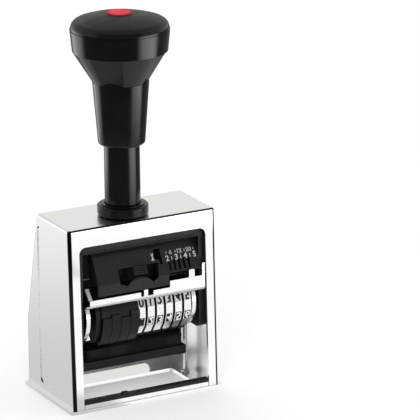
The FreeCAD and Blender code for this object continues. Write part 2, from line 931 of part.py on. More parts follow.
def make_head_block():
    body = new_body("head_block")
    back = size("console_thickness")
    step_y, step_z = on_console(size("console_length"), -back)
    low_y = console_y + back * slope_rise + (head_bottom - console_z + back * slope_run) * (
        slope_run / slope_rise
    )
    rear = handle_y + size("head_rear")
    front = handle_y - size("head_front")
    outline = [
        (low_y, head_bottom),
        (rear, head_bottom),
        (rear, head_top),
        (front, head_top),
        (front, lintel_bottom),
        (step_y, lintel_bottom),
        (step_y, step_z),
    ]
    raise_between(body, "YZ_Plane", -cheek_inner, cheek_inner, outline)
    bead = size("lintel_bead_radius")
    bead_end = cheek_inner - size("lintel_bead_end_gap")
    raise_between(body, "YZ_Plane", -cheek_inner, bead_end, ((front, lintel_bottom + bead), bead))
    for shape, setback in console_pockets():
        cut_between(body, "XZ_Plane", front - 2 * overrun, handle_y - size(setback), shape)
    rail_y = handle_y - size("rail_setback")
    lug = 2 * size("rail_radius")
    for left in rail_lug_places():
        foot = rectangle(rail_y - lug, rail_y + lug, rail_z() - lug, head_bottom + wall)
        raise_between(body, "YZ_Plane", left, left + size("rail_lug_width"), foot)
    floor = nut_bottom - size("head_top_gap")
    pocket = ((handle_x, handle_y), size("ring_nut_radius") + 2 * side_gap)
    cut_between(body, "XY_Plane", floor, head_top + overrun, pocket)
    seat = ((handle_x, handle_y), size("plunger_radius"))
    cut_between(body, "XY_Plane", plunger_foot, floor + overrun, seat)
    first, last = rail_span()
    rail_hole = ((rail_y, rail_z()), size("rail_radius"))
    cut_between(body, "YZ_Plane", first, last, rail_hole)
    hole = size("cheek_screw_radius")
    depth = size("cheek_screw_length") - size("cheek_thickness")
    for y, z in cheek_screw_places():
        cut_between(body, "YZ_Plane", cheek_inner - depth, cheek_inner + overrun, ((y, z), hole))
        cut_between(body, "YZ_Plane", -cheek_inner - overrun, depth - cheek_inner, ((y, z), hole))
    return node("head_block", body)


def console_pockets():
    """Hollows behind the console's openings, as (outline, how far in front of the handle they end)."""
    low = head_bottom - overrun
    gap = rectangle(-cheek_inner - overrun, finger_left, low, lintel_bottom)
    well = rectangle(well_left, well_right, low, well_top + side_gap)
    slot_low = console_z + size("count_slot_low") * slope_rise
    slot_high = console_z + size("count_slot_high") * slope_rise
    count = rectangle(count_slot_left, count_slot_left + size("count_slot_width"), slot_low, slot_high)
    half = size("comb_slot_width") / 2
    comb_top = console_z + (size("comb_low") + size("comb_slot_length")) * slope_rise
    comb = rectangle(comb_first - half, comb_last + half, low, comb_top)
    return (
        (gap, "console_deep_setback"),
        (well, "console_pocket_setback"),
        (count, "console_deep_setback"),
        (comb, "console_pocket_setback"),
    )


def rail_z():
    """Height of the pointer's rail: the pointer lies just under the console."""
    console_low = console_z - size("console_thickness") * slope_run
    return console_low - size("pointer_drop") - size("pointer_height") / 2


def pointer_left():
    return comb_last - size("pointer_width") / 2


def rail_lug_places():
    """Left faces of the two lugs that hold the rail, clear of the pointer's whole run."""
    clear = side_gap
    left = pointer_left() - size("pointer_run") - clear - size("rail_lug_width")
    right = pointer_left() + size("pointer_width") + clear
    return left, right


def rail_span():
    left, right = rail_lug_places()
    return left, right + size("rail_lug_width")


def cheek_screw_places():
    """The two screws in each cheek, as (y, z)."""
    middle = (head_bottom + head_top) / 2
    apart = (head_top - head_bottom) / 4
    return (
        (handle_y, middle + apart),
        (handle_y + size("head_rear") / 2 - size("cheek_screw_head_radius"), middle - apart),
    )


def make_side_cheek(name, side):
    body = new_body(name)
    front = handle_y - size("head_front")
    rear = handle_y + size("cheek_rear")
    low = size("cheek_bottom")
    soft = size("cheek_round")
    outline = [
        (rear - soft, low),
        (rear, low + soft, soft),
        (rear, head_top),
        (front, head_top),
        (front, low + soft),
        (front + soft, low, soft),
    ]
    inner, outer = (cheek_inner, cheek_outer) if side > 0 else (-cheek_outer, -cheek_inner)
    raise_between(body, "YZ_Plane", inner, outer, outline)
    shaft_hole = ((wheel_y, wheel_z), bore_radius)
    cut_between(body, "YZ_Plane", inner - overrun, outer + overrun, shaft_hole)
    rod_hole = ((side * rod_x, rod_y), size("guide_rod_radius") + 2 * running_gap)
    cut_between(body, "XY_Plane", low - overrun, head_top + overrun, rod_hole)
    for place in cheek_screw_places():
        screw_hole = (place, size("cheek_screw_radius"))
        cut_between(body, "YZ_Plane", inner - overrun, outer + overrun, screw_hole)
    return node(name, body)


def make_head_screws():
    shank = size("cheek_screw_radius")
    head = size("cheek_screw_head_radius")
    tip = cheek_outer - size("cheek_screw_length")
    head_end = cheek_outer + size("cheek_screw_head_height")
    screws = []
    for side in (-1, 1):
        for y, z in cheek_screw_places():
            outline = [
                (side * tip, 0),
                (side * head_end, 0),
                (side * head_end, head),
                (side * cheek_outer, head),
                (side * cheek_outer, shank),
                (side * tip, shank),
            ]
            screws.append(turned_across("head_screw", (0, y, z), outline))
    return group("head_screws", screws)


def shaft_end():
    return half_width - wall - size("shaft_end_gap")


def make_wheel_shaft():
    radius = size("shaft_radius")
    groove = radius - size("clip_groove_depth")
    near = cheek_outer + running_gap
    far = near + size("clip_thickness")
    end = shaft_end()
    outline = [(-end, 0), (end, 0), (end, radius), (far, radius), (far, groove), (near, groove)]
    outline += [(near, radius), (-near, radius), (-near, groove), (-far, groove), (-far, radius), (-end, radius)]
    return node("wheel_shaft", turned_across("wheel_shaft", wheel_place, outline))


def make_shaft_clips():
    clips = []
    near = cheek_outer + running_gap
    far = near + size("clip_thickness")
    mouth = size("clip_mouth") / 2
    reach = size("clip_radius") + overrun
    for side in (-1, 1):
        body = new_body("shaft_clip", wheel_place)
        inner, outer = (near, far) if side > 0 else (-far, -near)
        groove = size("shaft_radius") - size("clip_groove_depth")
        raise_between(body, "YZ_Plane", inner, outer, ((0, 0), size("clip_radius")), ((0, 0), groove))
        mouth_cut = rectangle(-mouth, mouth, -reach, 0)
        cut_between(body, "YZ_Plane", inner - overrun, outer + overrun, mouth_cut)
        clips.append(body)
    return group("shaft_clips", clips)


def make_shaft_spacer():
    left = side_gap - pad_arm_inner
    right = first_wheel - wheel_width / 2 - size("ratchet_thickness") - side_gap
    outline = [
        (left, size("shaft_radius") + running_gap),
        (right, size("shaft_radius") + running_gap),
        (right, size("spacer_radius")),
        (left, size("spacer_radius")),
    ]
    return node("shaft_spacer", turned_across("shaft_spacer", wheel_place, outline))


# Number wheels

def make_number_wheel(number):
    name = f"number_wheel_{number}"
    centre = last_wheel - (WHEEL_COUNT - number) * wheel_pitch
    body = new_body(name, (centre, wheel_y, wheel_z))
    half = wheel_width / 2
    flat_angle = 180 / (2 * NUMERALS)
    corner = size("wheel_flat_distance") / cosine(flat_angle)
    rim = []
    for index in range(2 * NUMERALS):
        angle = (2 * index + 1) * flat_angle
        rim.append((corner * cosine(angle), corner * sine(angle)))
    raise_between(body, "YZ_Plane", -half, half, rim)
    raise_between(body, "YZ_Plane", -half - size("ratchet_thickness"), -half, ratchet_outline())
    cut_between(body, "YZ_Plane", -half - overrun, half + overrun, ((0, 0), bore_radius))
    return node(name, body)


def ratchet_outline():
    """One tooth for each numeral: it rises slowly from its root and drops steeply at its tip."""
    tip = size("ratchet_radius")
    foot = tip - size("ratchet_depth")
    step = 360 / NUMERALS
    points = []
    for index in range(NUMERALS):
        start = index * step
        end = start + step * RATCHET_RISE_SHARE
        points.append((foot * cosine(start), foot * sine(start)))
        points.append((tip * cosine(end), tip * sine(end)))
    return points


# Cover of the left end of the wheel set

def ring_sector(inner, outer, low_angle, high_angle):
    """Outline of a ring sector about the shaft, in front of it; angles rise from the level of the axis."""
    return [
        (-outer * cosine(low_angle), outer * sine(low_angle)),
        (-outer * cosine(high_angle), outer * sine(high_angle), -outer),
        (-inner * cosine(high_angle), inner * sine(high_angle)),
        (-inner * cosine(low_angle), inner * sine(low_angle), inner),
    ]


def make_wheel_cover():
    """Banded cover of the left half, under a guard that runs along the whole set just below the console."""
    body = new_body("wheel_cover", wheel_place)
    inner = size("cover_radius")
    skin = inner + size("cover_skin")
    left = size("cover_left_gap") - cheek_inner
    right = size("cover_right_gap") - cheek_inner
    low = -size("cover_low_angle")
    high = size("cover_high_angle")
    guard = ring_sector(inner, skin, size("cover_guard_angle"), high)
    raise_between(body, "YZ_Plane", -feed_disc_outer, feed_disc_outer, guard)
    raise_between(body, "YZ_Plane", left, right, ring_sector(inner, skin, low, size("cover_guard_angle")))
    band = (right - left + size("cover_band_gap")) / COVER_BANDS
    for index in range(COVER_BANDS):
        start = left + index * band
        stop = start + band - size("cover_band_gap")
        top = size(f"cover_band_{index + 1}_angle")
        outer = skin + size("cover_band_height")
        raise_between(body, "YZ_Plane", start, stop, ring_sector(inner, outer, low, top))
    tab_rear = -inner * cosine(high)
    tab_front = -skin * cosine(high)
    foot = inner * sine(high) - size("cover_skin")
    tab = rectangle(tab_front, tab_rear, foot, head_bottom - wheel_z)
    raise_between(body, "YZ_Plane", -feed_disc_outer, feed_disc_outer, tab)
    return node("wheel_cover", body)


# Feed frame, pawls and detents

def feed_bar_corners(inner, outer, width):
    """The cross bar's outline about the shaft: a block square to the radius at feed_bar_angle."""
    angle = size("feed_bar_angle")
    along = (cosine(angle), sine(angle))
    half = width / 2

    def corner(radius, across):
        return (radius * along[0] - across * along[1], radius * along[1] + across * along[0])

    return [corner(inner, -half), corner(outer, -half), corner(outer, half), corner(inner, half)]


def make_feed_frame():
    body = new_body("feed_frame", wheel_place)
    disc = ((0, 0), size("feed_disc_radius"))
    raise_between(body, "YZ_Plane", feed_disc_inner, feed_disc_outer, disc)
    bar_low = size("feed_bar_radius")
    bar_high = bar_low + size("feed_bar_depth")
    width = size("feed_bar_width")
    ear = feed_bar_corners(size("feed_disc_radius") - width / 2, bar_high, width)
    raise_between(body, "YZ_Plane", feed_disc_inner, feed_disc_outer, ear)
    bar = feed_bar_corners(bar_low, bar_high, width)
    raise_between(body, "YZ_Plane", -feed_disc_outer, feed_disc_inner, bar)
    raise_between(body, "YZ_Plane", -feed_disc_outer, -feed_disc_inner, ear)
    raise_between(body, "YZ_Plane", -feed_disc_outer, -feed_disc_inner, disc)
    hole = ((0, 0), bore_radius)
    cut_between(body, "YZ_Plane", -feed_disc_outer - overrun, feed_disc_outer + overrun, hole)
    return node("feed_frame", body)


def ratchet_middle(number):
    """Middle of the slot beside a wheel in which its ratchet lies."""
    centre = last_wheel - (WHEEL_COUNT - number) * wheel_pitch
    return centre - wheel_width / 2 - (size("ratchet_thickness") + side_gap) / 2


def make_feed_pawls():
    pawls = []
    low = size("ratchet_radius") + size("pawl_tip_gap")
    high = size("feed_bar_radius")
    half = size("pawl_thickness") / 2
    for number in range(1, WHEEL_COUNT + 1):
        middle = ratchet_middle(number)
        body = new_body("feed_pawl", wheel_place)
        blade = feed_bar_corners(low, high, size("pawl_width"))
        raise_between(body, "YZ_Plane", middle - half, middle + half, blade)
        pawls.append(body)
    return group("feed_pawls", pawls)


def make_detent_springs():
    body = new_body("detent_springs")
    half = size("pawl_thickness") / 2
    rear = handle_y - size("detent_place")
    front = rear - size("detent_thickness")
    strip_high = head_bottom
    strip_low = strip_high - size("detent_thickness")
    left = ratchet_middle(1) - half
    right = ratchet_middle(WHEEL_COUNT) + half
    strip = rectangle(rear - size("detent_strip_width"), rear, strip_low, strip_high)
    raise_between(body, "YZ_Plane", left, right, strip)
    reach = size("ratchet_radius") + size("pawl_tip_gap")
    back = wheel_y - rear
    low = wheel_z + root(reach * reach - back * back)
    for number in range(1, WHEEL_COUNT + 1):
        middle = ratchet_middle(number)
        finger = rectangle(front, rear, low, strip_low)
        raise_between(body, "YZ_Plane", middle - half, middle + half, finger)
    return node("detent_springs", body)


# Bail in front of the wheels

def bail_outline():
    """The front plate above its rolled edge, as (x, z): notch and tooth, step, and a tab at the right."""
    low = size("bail_bottom") + size("bail_roll")
    left_top = size("bail_left_top")
    right_top = size("bail_right_top")
    left = size("bail_left_gap") - bail_arm_outer
    end = bail_arm_outer + size("bail_end_overhang")
    tab = end - size("bail_tab_width")
    soft = size("bail_tab_width") / 2
    tab_top = size("bail_tab_top")
    step = cheek_inner - size("bail_step_gap") + soft
    notch_left = cheek_inner - size("bail_notch_gap")
    notch_right = notch_left + size("bail_notch_width")
    tooth_left = notch_left + size("bail_tooth_place")
    tooth_right = tooth_left + size("bail_tooth_width")
    tooth_top = size("bail_tooth_top")
    web = low + size("bail_thickness") / 2
    return [
        (left, low),
        (end, low),
        (end, tab_top - soft),
        (end - soft, tab_top, soft),
        (tab, tab_top - soft, soft),
        (tab, right_top),
        (step, right_top),
        (step, left_top),
        (notch_right, left_top),
        (notch_right, web),
        (tooth_right, web),
        (tooth_right, tooth_top),
        (tooth_left, tooth_top),
        (tooth_left, web),
        (notch_left, web),
        (notch_left, left_top),
        (left, left_top),
    ]


def make_switch_bail():
    body = new_body("switch_bail")
    front = handle_y - size("bail_front")
    skin = size("bail_thickness")
    raise_between(body, "XZ_Plane", front, front + skin, bail_outline())
    roll = size("bail_roll")
    roll_z = size("bail_bottom") + roll
    angle = size("bail_roll_angle")

    def on_roll(radius):
        """The (y, z) where the rolled edge ends, at a distance from the middle of the roll."""
        return front + roll - radius * cosine(angle), roll_z - radius * sine(angle)

    rolled = [
        (front, roll_z),
        (*on_roll(roll), roll),
        on_roll(roll - skin),
        (front + skin, roll_z, skin - roll),
    ]
    end = bail_arm_outer + size("bail_end_overhang")
    raise_between(body, "YZ_Plane", -bail_arm_outer, end, rolled)
    hub = size("bail_hub_radius")
    lower = [
        on_roll(roll - skin / 2),
        (wheel_y, wheel_z - hub),
        (wheel_y + hub, wheel_z, hub),
        (wheel_y, wheel_z + hub, hub),
    ]
    slim = lower + [(front + skin / 2, roll_z)]
    raise_between(body, "YZ_Plane", -bail_arm_outer, -bail_arm_inner, slim)
    top = size("bail_right_top")
    wide = lower + [(wheel_y - hub, top), (front + skin / 2, top), (front + skin / 2, roll_z)]
    raise_between(body, "YZ_Plane", bail_arm_inner, bail_arm_outer, wide)
    left = size("bail_left_gap") - bail_arm_outer
    foot = size("bail_left_top") - skin
    top = size("bail_left_tab_top")
    lean = size("bail_left_tab_lean")
    tab = [(front, foot), (front + skin, foot), (front + skin + lean, top), (front + lean, top)]
    raise_between(body, "YZ_Plane", left, left + size("bail_left_tab_width"), tab)
    hole = ((wheel_y, wheel_z), bore_radius)
    cut_between(body, "YZ_Plane", -bail_arm_outer - overrun, bail_arm_outer + overrun, hole)
    return node("switch_bail", body)


# Ink pad

def make_pad_carrier():
    body = new_body("pad_carrier", wheel_place)
    half = size("tray_half_length")
    bottom = -size("tray_bottom_distance")
    rim = -size("tray_rim_distance")
    skin = size("tray_wall")
    soft = size("tray_corner")
    hub = size("pad_hub_radius")
    section = [
        (half, rim),
        (-half, rim),
        (-half, bottom + soft),
        (soft - half, bottom, soft),
        (half - soft, bottom),
        (half, bottom + soft, soft),
    ]
    raise_between(body, "YZ_Plane", -pad_arm_outer, pad_arm_outer, section)
    hollow = rectangle(skin - half, half - skin, bottom + skin, rim + overrun)
    cut_between(body, "YZ_Plane", -pad_arm_inner, pad_arm_inner, hollow)
    for inner, outer in ((pad_arm_inner, pad_arm_outer), (-pad_arm_outer, -pad_arm_inner)):
        arm = [
            (hub - half, rim - skin),
            (half - hub, rim - skin),
            (hub, 0),
            (0, hub, hub),
            (-hub, 0, hub),
        ]
        raise_between(body, "YZ_Plane", inner, outer, arm)
        hole = ((0, 0), bore_radius)
        cut_between(body, "YZ_Plane", inner - overrun, outer + overrun, hole)
    return node("pad_carrier", body)


def make_ink_pad():
    felt = doc.addObject("Part::Box", "ink_pad")
    skin = size("tray_wall")
    gap = size("felt_gap")
    half_x = pad_arm_inner - gap
    half_y = size("tray_half_length") - skin - gap
    low = wheel_z - size("tray_bottom_distance") + skin
    bind(felt, "Length", half_x * 2)
    bind(felt, "Width", half_y * 2)
    bind(felt, "Height", wheel_z - size("pad_face_distance") - low)
    bind(felt, "Placement.Base.x", -half_x)
    bind(felt, "Placement.Base.y", wheel_y - half_y)
    bind(felt, "Placement.Base.z", low)
    return node("ink_pad", felt)


# Console: scale panel, finger plate, thumb slide and pointer

def make_scale_panel():
    """Sloping panel with the comb slots; the count slot and the well of the plate on it go through it too."""
    body = new_body("scale_panel", (0, console_y, console_z), console_tilt)
    thickness = size("console_thickness")
    outline = rectangle(finger_left, cheek_inner, 0, size("console_length"))
    raise_between(body, "XY_Plane", -thickness, 0, outline)
    slot = size("comb_slot_width") / 2
    low = size("comb_low")
    for index in range(COMB_SLOTS):
        middle = comb_first + index * size("comb_slot_pitch")
        shape = rectangle(middle - slot, middle + slot, low, low + size("comb_slot_length"))
        cut_between(body, "XY_Plane", -thickness - overrun, overrun, shape)
    count = count_slot(size("count_slot_low"), size("count_slot_step"), size("count_slot_high"))
    cut_between(body, "XY_Plane", -thickness - overrun, overrun, count)
    well = rectangle(well_left, well_right, -overrun, size("well_rise") / slope_rise)
    cut_between(body, "XY_Plane", -thickness - overrun, overrun, well)
    return node("scale_panel", body)


def count_slot(low, step, high):
    """Outline of the slot beside the numeral 1: a narrow tail, wider above the step."""
    left = count_slot_left
    right = left + size("count_slot_width")
    tail = right - size("count_slot_tail_width")
    return [(tail, low), (right, low), (right, high), (left, high), (left, step), (tail, step)]


def make_finger_plate():
    """Plate bent over the console's lower edge; a hump rises into its well from below."""
    body = new_body("finger_plate")
    rise = size("finger_plate_rise")
    thickness = size("finger_plate_thickness")
    back_top = on_console(rise, 0)
    front_top_point = on_console(rise, thickness)
    skirt_front = console_y - thickness
    skirt_bottom = console_z - size("finger_skirt_drop")
    bend = on_console(0, 0)
    outline = [
        back_top,
        front_top_point,
        (skirt_front, console_z),
        (skirt_front, skirt_bottom),
        (console_y, skirt_bottom),
        bend,
    ]
    raise_between(body, "YZ_Plane", finger_left, finger_right, outline)
    shoulder = console_z - size("well_shoulder_drop")
    corner = console_z - size("well_corner_drop")
    middle = (well_left + well_right) / 2
    half = well_width * size("hump_half_share")
    rise = size("hump_rise") + size("well_corner_drop")
    arc = (half * half + rise * rise) / (2 * rise)
    well = [
        (middle + half, corner, -arc),
        (well_right - size("well_right_lean"), shoulder),
        (well_right, well_top),
        (well_left, well_top),
        (well_left, shoulder),
        (middle - half, corner),
    ]
    cut_between(body, "XZ_Plane", skirt_front - overrun, handle_y, well)
    levels = [size(f"count_slot_{name}") for name in ("low", "step", "high")]
    count = count_slot(*(on_console(up, thickness)[1] for up in levels))
    cut_between(body, "XZ_Plane", skirt_front - overrun, handle_y, count)
    return node("finger_plate", body)


def make_thumb_slide():
    """Ridged thumb piece in the well, on a wider foot that runs behind the panel."""
    body = new_body("thumb_slide", (0, console_y, console_z), console_tilt)
    gap = size("thumb_gap")
    left = well_left + well_width * size("thumb_place_share")
    right = left + well_width * size("thumb_width_share")
    low = size("hump_rise") / slope_rise + gap
    high = size("well_rise") / slope_rise - gap - size("finger_plate_thickness") * slope_run / slope_rise
    top = size("finger_plate_thickness") + size("thumb_proud")
    foot_top = -size("console_thickness") - gap
    foot_low = foot_top - size("thumb_foot_thickness")
    margin = size("thumb_foot_margin")
    foot = rectangle(left - margin, right + margin, low, high + margin)
    raise_between(body, "XY_Plane", foot_low, foot_top, foot)
    raise_between(body, "XY_Plane", foot_low, top, rectangle(left, right, low, high))
    ridge = size("thumb_ridge_radius")
    step = (high - low) / RIDGES
    for index in range(RIDGES):
        middle = low + (2 * index + 1) * step / 2
        shape = [
            (middle - ridge, top - ridge),
            (middle + ridge, top - ridge),
            (middle + ridge, top),
            (middle, top + ridge, ridge),
            (middle - ridge, top, ridge),
        ]
        raise_between(body, "YZ_Plane", left + ridge, right - ridge, shape)
    return node("thumb_slide", body)


def make_pointer_rail():
    first, last = rail_span()
    place = (0, handle_y - size("rail_setback"), rail_z())
    outline = rectangle(first, last, 0, size("rail_radius"))
    return node("pointer_rail", turned_across("pointer_rail", place, outline))


def make_repeat_pointer():
    body = new_body("repeat_pointer")
    half = size("pointer_height") / 2
    front = handle_y - size("pointer_front")
    rear = handle_y - size("pointer_rear")
    left = pointer_left()
    tip_rear = front + size("pointer_tip_thickness")
    low = rail_z() - half
    tip_top = low + size("pointer_tip_height")
    outline = [
        (front, low),
        (rear, low),
        (rear, low + 2 * half),
        (tip_rear, low + 2 * half),
        (tip_rear, tip_top),
        (front, tip_top),
    ]
    raise_between(body, "YZ_Plane", left, left + size("pointer_width"), outline)
    hole = ((handle_y - size("rail_setback"), rail_z()), size("rail_radius") + running_gap)
    cut_between(body, "YZ_Plane", left - overrun, left + size("pointer_width") + overrun, hole)
    round_off(body, size("pointer_tip_round"), lambda edge: is_tip_edge(edge, tip_top))
    return node("repeat_pointer", body)


def is_tip_edge(edge, height):
    """The short edges that run back at a height."""
    box = edge.BoundBox
    return box.ZMin > height.number - 1e-3 and box.XLength < 1e-3


def make_all():
    make_housing_shell()
    make_base_frame()
    make_guide_rod("guide_rod_left", -1)
    make_guide_rod("guide_rod_right", 1)
    make_base_screws()
    make_guide_tube()
    make_tube_nut()
    make_lock_ring()
    make_handle_sleeve()
    make_knob_body()
    make_knob_cap()
    make_knob_dot()
    make_knob_screw()
    make_plunger_rod()
    make_return_spring()
    make_head_block()
    make_side_cheek("side_cheek_left", -1)
    make_side_cheek("side_cheek_right", 1)
    make_head_screws()
    make_wheel_shaft()
    make_shaft_clips()
    make_shaft_spacer()
    for number in range(1, WHEEL_COUNT + 1):
        make_number_wheel(number)
    make_wheel_cover()
    make_feed_frame()
    make_feed_pawls()
    make_detent_springs()
    make_switch_bail()
    make_pad_carrier()
    make_ink_pad()
    make_scale_panel()
    make_finger_plate()
    make_thumb_slide()
    make_pointer_rail()
    make_repeat_pointer()


def check_all():
    """Stops where an object failed, a shape is not a valid solid, or a cut removed nothing."""
    for thing in doc.Objects:
        bad = [word for word in thing.State if word in ("Invalid", "Error")]
        if bad:
            raise RuntimeError(f"{thing.Label} ({thing.Name}) is {bad}")
    for thing in nodes:
        shape = thing.Shape
        if shape.isNull() or not shape.isValid() or not shape.Solids:
            raise RuntimeError(f"{thing.Label} has no valid solid")
    for cut in cuts:
        before = cut.BaseFeature.Shape.Volume
        if cut.Shape.Volume > before - 1e-4:
            raise RuntimeError(f"{cut.Name} removes nothing")


def write_steps():
    os.makedirs("parts", exist_ok=True)
    for thing in nodes:
        thing.Shape.exportStep(f"parts/{thing.Label}.step")
        box = thing.Shape.BoundBox
        print(
            f"{thing.Label}: {len(thing.Shape.Solids)} solid(s), {thing.Shape.Volume:.1f} mm3,",
            f"x {box.XMin:.2f}..{box.XMax:.2f} y {box.YMin:.2f}..{box.YMax:.2f} z {box.ZMin:.2f}..{box.ZMax:.2f}",
        )


make_all()
doc.recompute()
check_all()
write_steps()
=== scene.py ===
# %% [markdown]
# Numbering machine, dressed for the picture.
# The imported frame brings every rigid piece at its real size. This lesson gives each of them its finish,
# cuts the numerals that a solid model leaves out, makes the soft ink pad, and lights the whole thing.
# The script's unit is the metre. A size that a maker would read off a drawing is written in millimetres
# and multiplied by MM.

import math

import bmesh
import bpy
from mathutils import Matrix, Vector, noise


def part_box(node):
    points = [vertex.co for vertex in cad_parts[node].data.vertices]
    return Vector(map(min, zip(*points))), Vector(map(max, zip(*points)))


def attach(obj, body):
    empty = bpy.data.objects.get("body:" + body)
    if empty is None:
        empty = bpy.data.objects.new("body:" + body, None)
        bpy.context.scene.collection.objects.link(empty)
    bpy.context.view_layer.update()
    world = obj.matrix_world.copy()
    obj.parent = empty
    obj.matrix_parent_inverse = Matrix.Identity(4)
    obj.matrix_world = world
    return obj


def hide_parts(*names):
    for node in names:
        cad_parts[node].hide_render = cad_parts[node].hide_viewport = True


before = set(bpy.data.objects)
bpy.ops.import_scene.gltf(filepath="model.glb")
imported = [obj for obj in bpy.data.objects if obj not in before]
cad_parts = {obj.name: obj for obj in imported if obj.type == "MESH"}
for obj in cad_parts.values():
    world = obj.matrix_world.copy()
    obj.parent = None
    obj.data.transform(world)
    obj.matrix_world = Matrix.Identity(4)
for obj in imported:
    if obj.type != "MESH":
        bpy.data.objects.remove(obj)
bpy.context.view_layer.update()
MM = 0.001

# %% [markdown]
# The camera stands to the left of the machine and a little above it, a long way off with a long lens.
# That keeps the box's edges almost parallel, as they are in the photograph. A nearer camera would frame
# it alike but would make the front look larger than the back.
# The aim point, the angles and the small roll were worked out from the corners of the housing.

# %% Camera
AIM = Vector((30.42, -21.87, 81.73)) * MM
AZIMUTH = math.radians(28.43)
ELEVATION = math.radians(17.0)
ROLL = math.radians(-0.557)
DISTANCE = 1487.66 * MM
LENS = 298.8


def camera_axes(azimuth, elevation, roll):
    """The camera's right, up and backward directions."""
    back = Vector((
        -math.sin(azimuth) * math.cos(elevation),
        -math.cos(azimuth) * math.cos(elevation),
        math.sin(elevation),
    ))
    right = Vector((math.cos(azimuth), -math.sin(azimuth), 0))
    up = back.cross(right)
    rolled_right = right * math.cos(roll) + up * math.sin(roll)
    rolled_up = up * math.cos(roll) - right * math.sin(roll)
    return rolled_right, rolled_up, back


def place_camera():
    """The camera at the photograph's angle."""
    right, up, back = camera_axes(AZIMUTH, ELEVATION, ROLL)
    camera = bpy.data.objects.new("camera", bpy.data.cameras.new("camera"))
    camera.data.lens = LENS
    turn = Matrix((right, up, back)).transposed().to_4x4()
    camera.matrix_world = Matrix.Translation(AIM + back * DISTANCE) @ turn
    bpy.context.scene.collection.objects.link(camera)
    bpy.context.scene.camera = camera
    return camera


camera = place_camera()
print("camera at", [round(v, 3) for v in camera.matrix_world.translation])

# %% [markdown]
# Every material here is built from shader nodes. Typing out each node with its sockets would fill pages,
# so one small helper makes a node, sets its options and either links or sets its inputs.

# %% Node helper


def put(tree, kind, inputs=None, **settings):
    """A new node of the tree. An input that is a socket is linked, and any other value is set."""
    node = tree.nodes.new("ShaderNode" + kind)
    for name, value in settings.items():
        setattr(node, name, value)
    for name, value in (inputs or {}).items():
        if isinstance(value, bpy.types.NodeSocket):
            tree.links.new(value, node.inputs[name])
        else:
            node.inputs[name].default_value = value
    return node


print("node helper ready")

# %% [markdown]
# A mask over a surface is a value worked out from other values. The sums that come back in every recipe get
# short names here, so that a recipe reads as what it does to the surface.

# %% Sums of values


def sum_up(tree, operation, first, second=0.0, clamp=False):
    """A Math node's result."""
    return put(tree, "Math", {0: first, 1: second}, operation=operation, use_clamp=clamp).outputs[0]


def spread(tree, value, low, high, to_low=0.0, to_high=1.0):
    """The value's range from low to high stretched to another range, with soft ends."""
    node = put(tree, "MapRange", {
        "Value": value, "From Min": low, "From Max": high, "To Min": to_low, "To Max": to_high,
    }, interpolation_type="SMOOTHSTEP")
    return node.outputs["Result"]


def product(tree, first, second):
    """Two values multiplied."""
    return sum_up(tree, "MULTIPLY", first, second)


def larger(tree, first, second):
    """The larger of two values."""
    return sum_up(tree, "MAXIMUM", first, second)


def same_way(tree, first, second):
    """The dot product of two vectors: 1 where both directions agree."""
    node = put(tree, "VectorMath", {0: first, 1: second}, operation="DOT_PRODUCT")
    return node.outputs["Value"]


def offset(tree, place, start):
    """A point as seen from a start point."""
    return put(tree, "VectorMath", {0: place, 1: tuple(start)}, operation="SUBTRACT").outputs[0]


def axes(tree, vector):
    """A vector's outputs X, Y and Z."""
    return put(tree, "SeparateXYZ", {0: vector}).outputs


def object_place(tree):
    """A point's place on the machine, in metres."""
    return put(tree, "TexCoord").outputs["Object"]


def mottle(tree, place, scale, detail):
    """Soft noise from 0 to 1, whose blotches lie about 1 / scale metres apart."""
    return put(tree, "TexNoise", {"Vector": place, "Scale": scale, "Detail": detail}).outputs["Fac"]


def mix_colour(tree, factor, first, second):
    """Two colours mixed."""
    node = put(tree, "Mix", {0: factor, 6: first, 7: second}, data_type="RGBA")
    return node.outputs[2]


def grey(level, alpha=1.0):
    """A neutral colour."""
    return (level, level, level, alpha)


print("sums ready")

# %% [markdown]
# Several finishes share an effect, such as the fine grain of a mould or the lines of a brush.
# Each effect is a node group with named inputs and outputs, built once. A group here gives out only
# masks and heights, so the material decides what they do to its colour, roughness or bump.

# %% Effect groups


def effect(name, inputs, outputs):
    """An empty node group with those values in and out, as its tree, input node and output node."""
    tree = bpy.data.node_groups.new(name, "ShaderNodeTree")
    for socket_name, value in inputs.items():
        socket = tree.interface.new_socket(socket_name, in_out="INPUT", socket_type="NodeSocketFloat")
        socket.default_value = value
    for socket_name in outputs:
        tree.interface.new_socket(socket_name, in_out="OUTPUT", socket_type="NodeSocketFloat")
    return tree, tree.nodes.new("NodeGroupInput"), tree.nodes.new("NodeGroupOutput")


def make_moulded_grain():
    """The fine uneven skin that a mould or a paint coat leaves."""
    tree, given, result = effect("moulded_grain", {"Scale": 900.0}, ["Height", "Mask"])
    place = object_place(tree)
    fine = mottle(tree, place, given.outputs["Scale"], 3.0)
    wide = mottle(tree, place, product(tree, given.outputs["Scale"], 0.08), 2.0)
    tree.links.new(fine, result.inputs["Height"])
    tree.links.new(spread(tree, wide, 0.35, 0.65), result.inputs["Mask"])
    return tree


def make_brush_lines():
    """Fine parallel lines along X, left by a brush or a grinding belt."""
    tree, given, result = effect("brush_lines", {"Scale": 2500.0, "Stretch": 0.02}, ["Height", "Mask"])
    split = axes(tree, object_place(tree))
    along = product(tree, split["X"], given.outputs["Stretch"])
    squeezed = put(tree, "CombineXYZ", {0: along, 1: split["Y"], 2: split["Z"]})
    lines = mottle(tree, squeezed.outputs[0], given.outputs["Scale"], 2.0)
    tree.links.new(lines, result.inputs["Height"])
    tree.links.new(spread(tree, lines, 0.3, 0.7), result.inputs["Mask"])
    return tree


moulded_grain = make_moulded_grain()
brush_lines = make_brush_lines()
print("surface effects ready")

# %% [markdown]
# Use leaves its own marks: fingers dull a bright surface in patches, and paint rubs thin along the edges. The
# Bevel node finds the edges. It gives the normal of a rounded edge, which differs from the real normal there.

# %% Wear groups


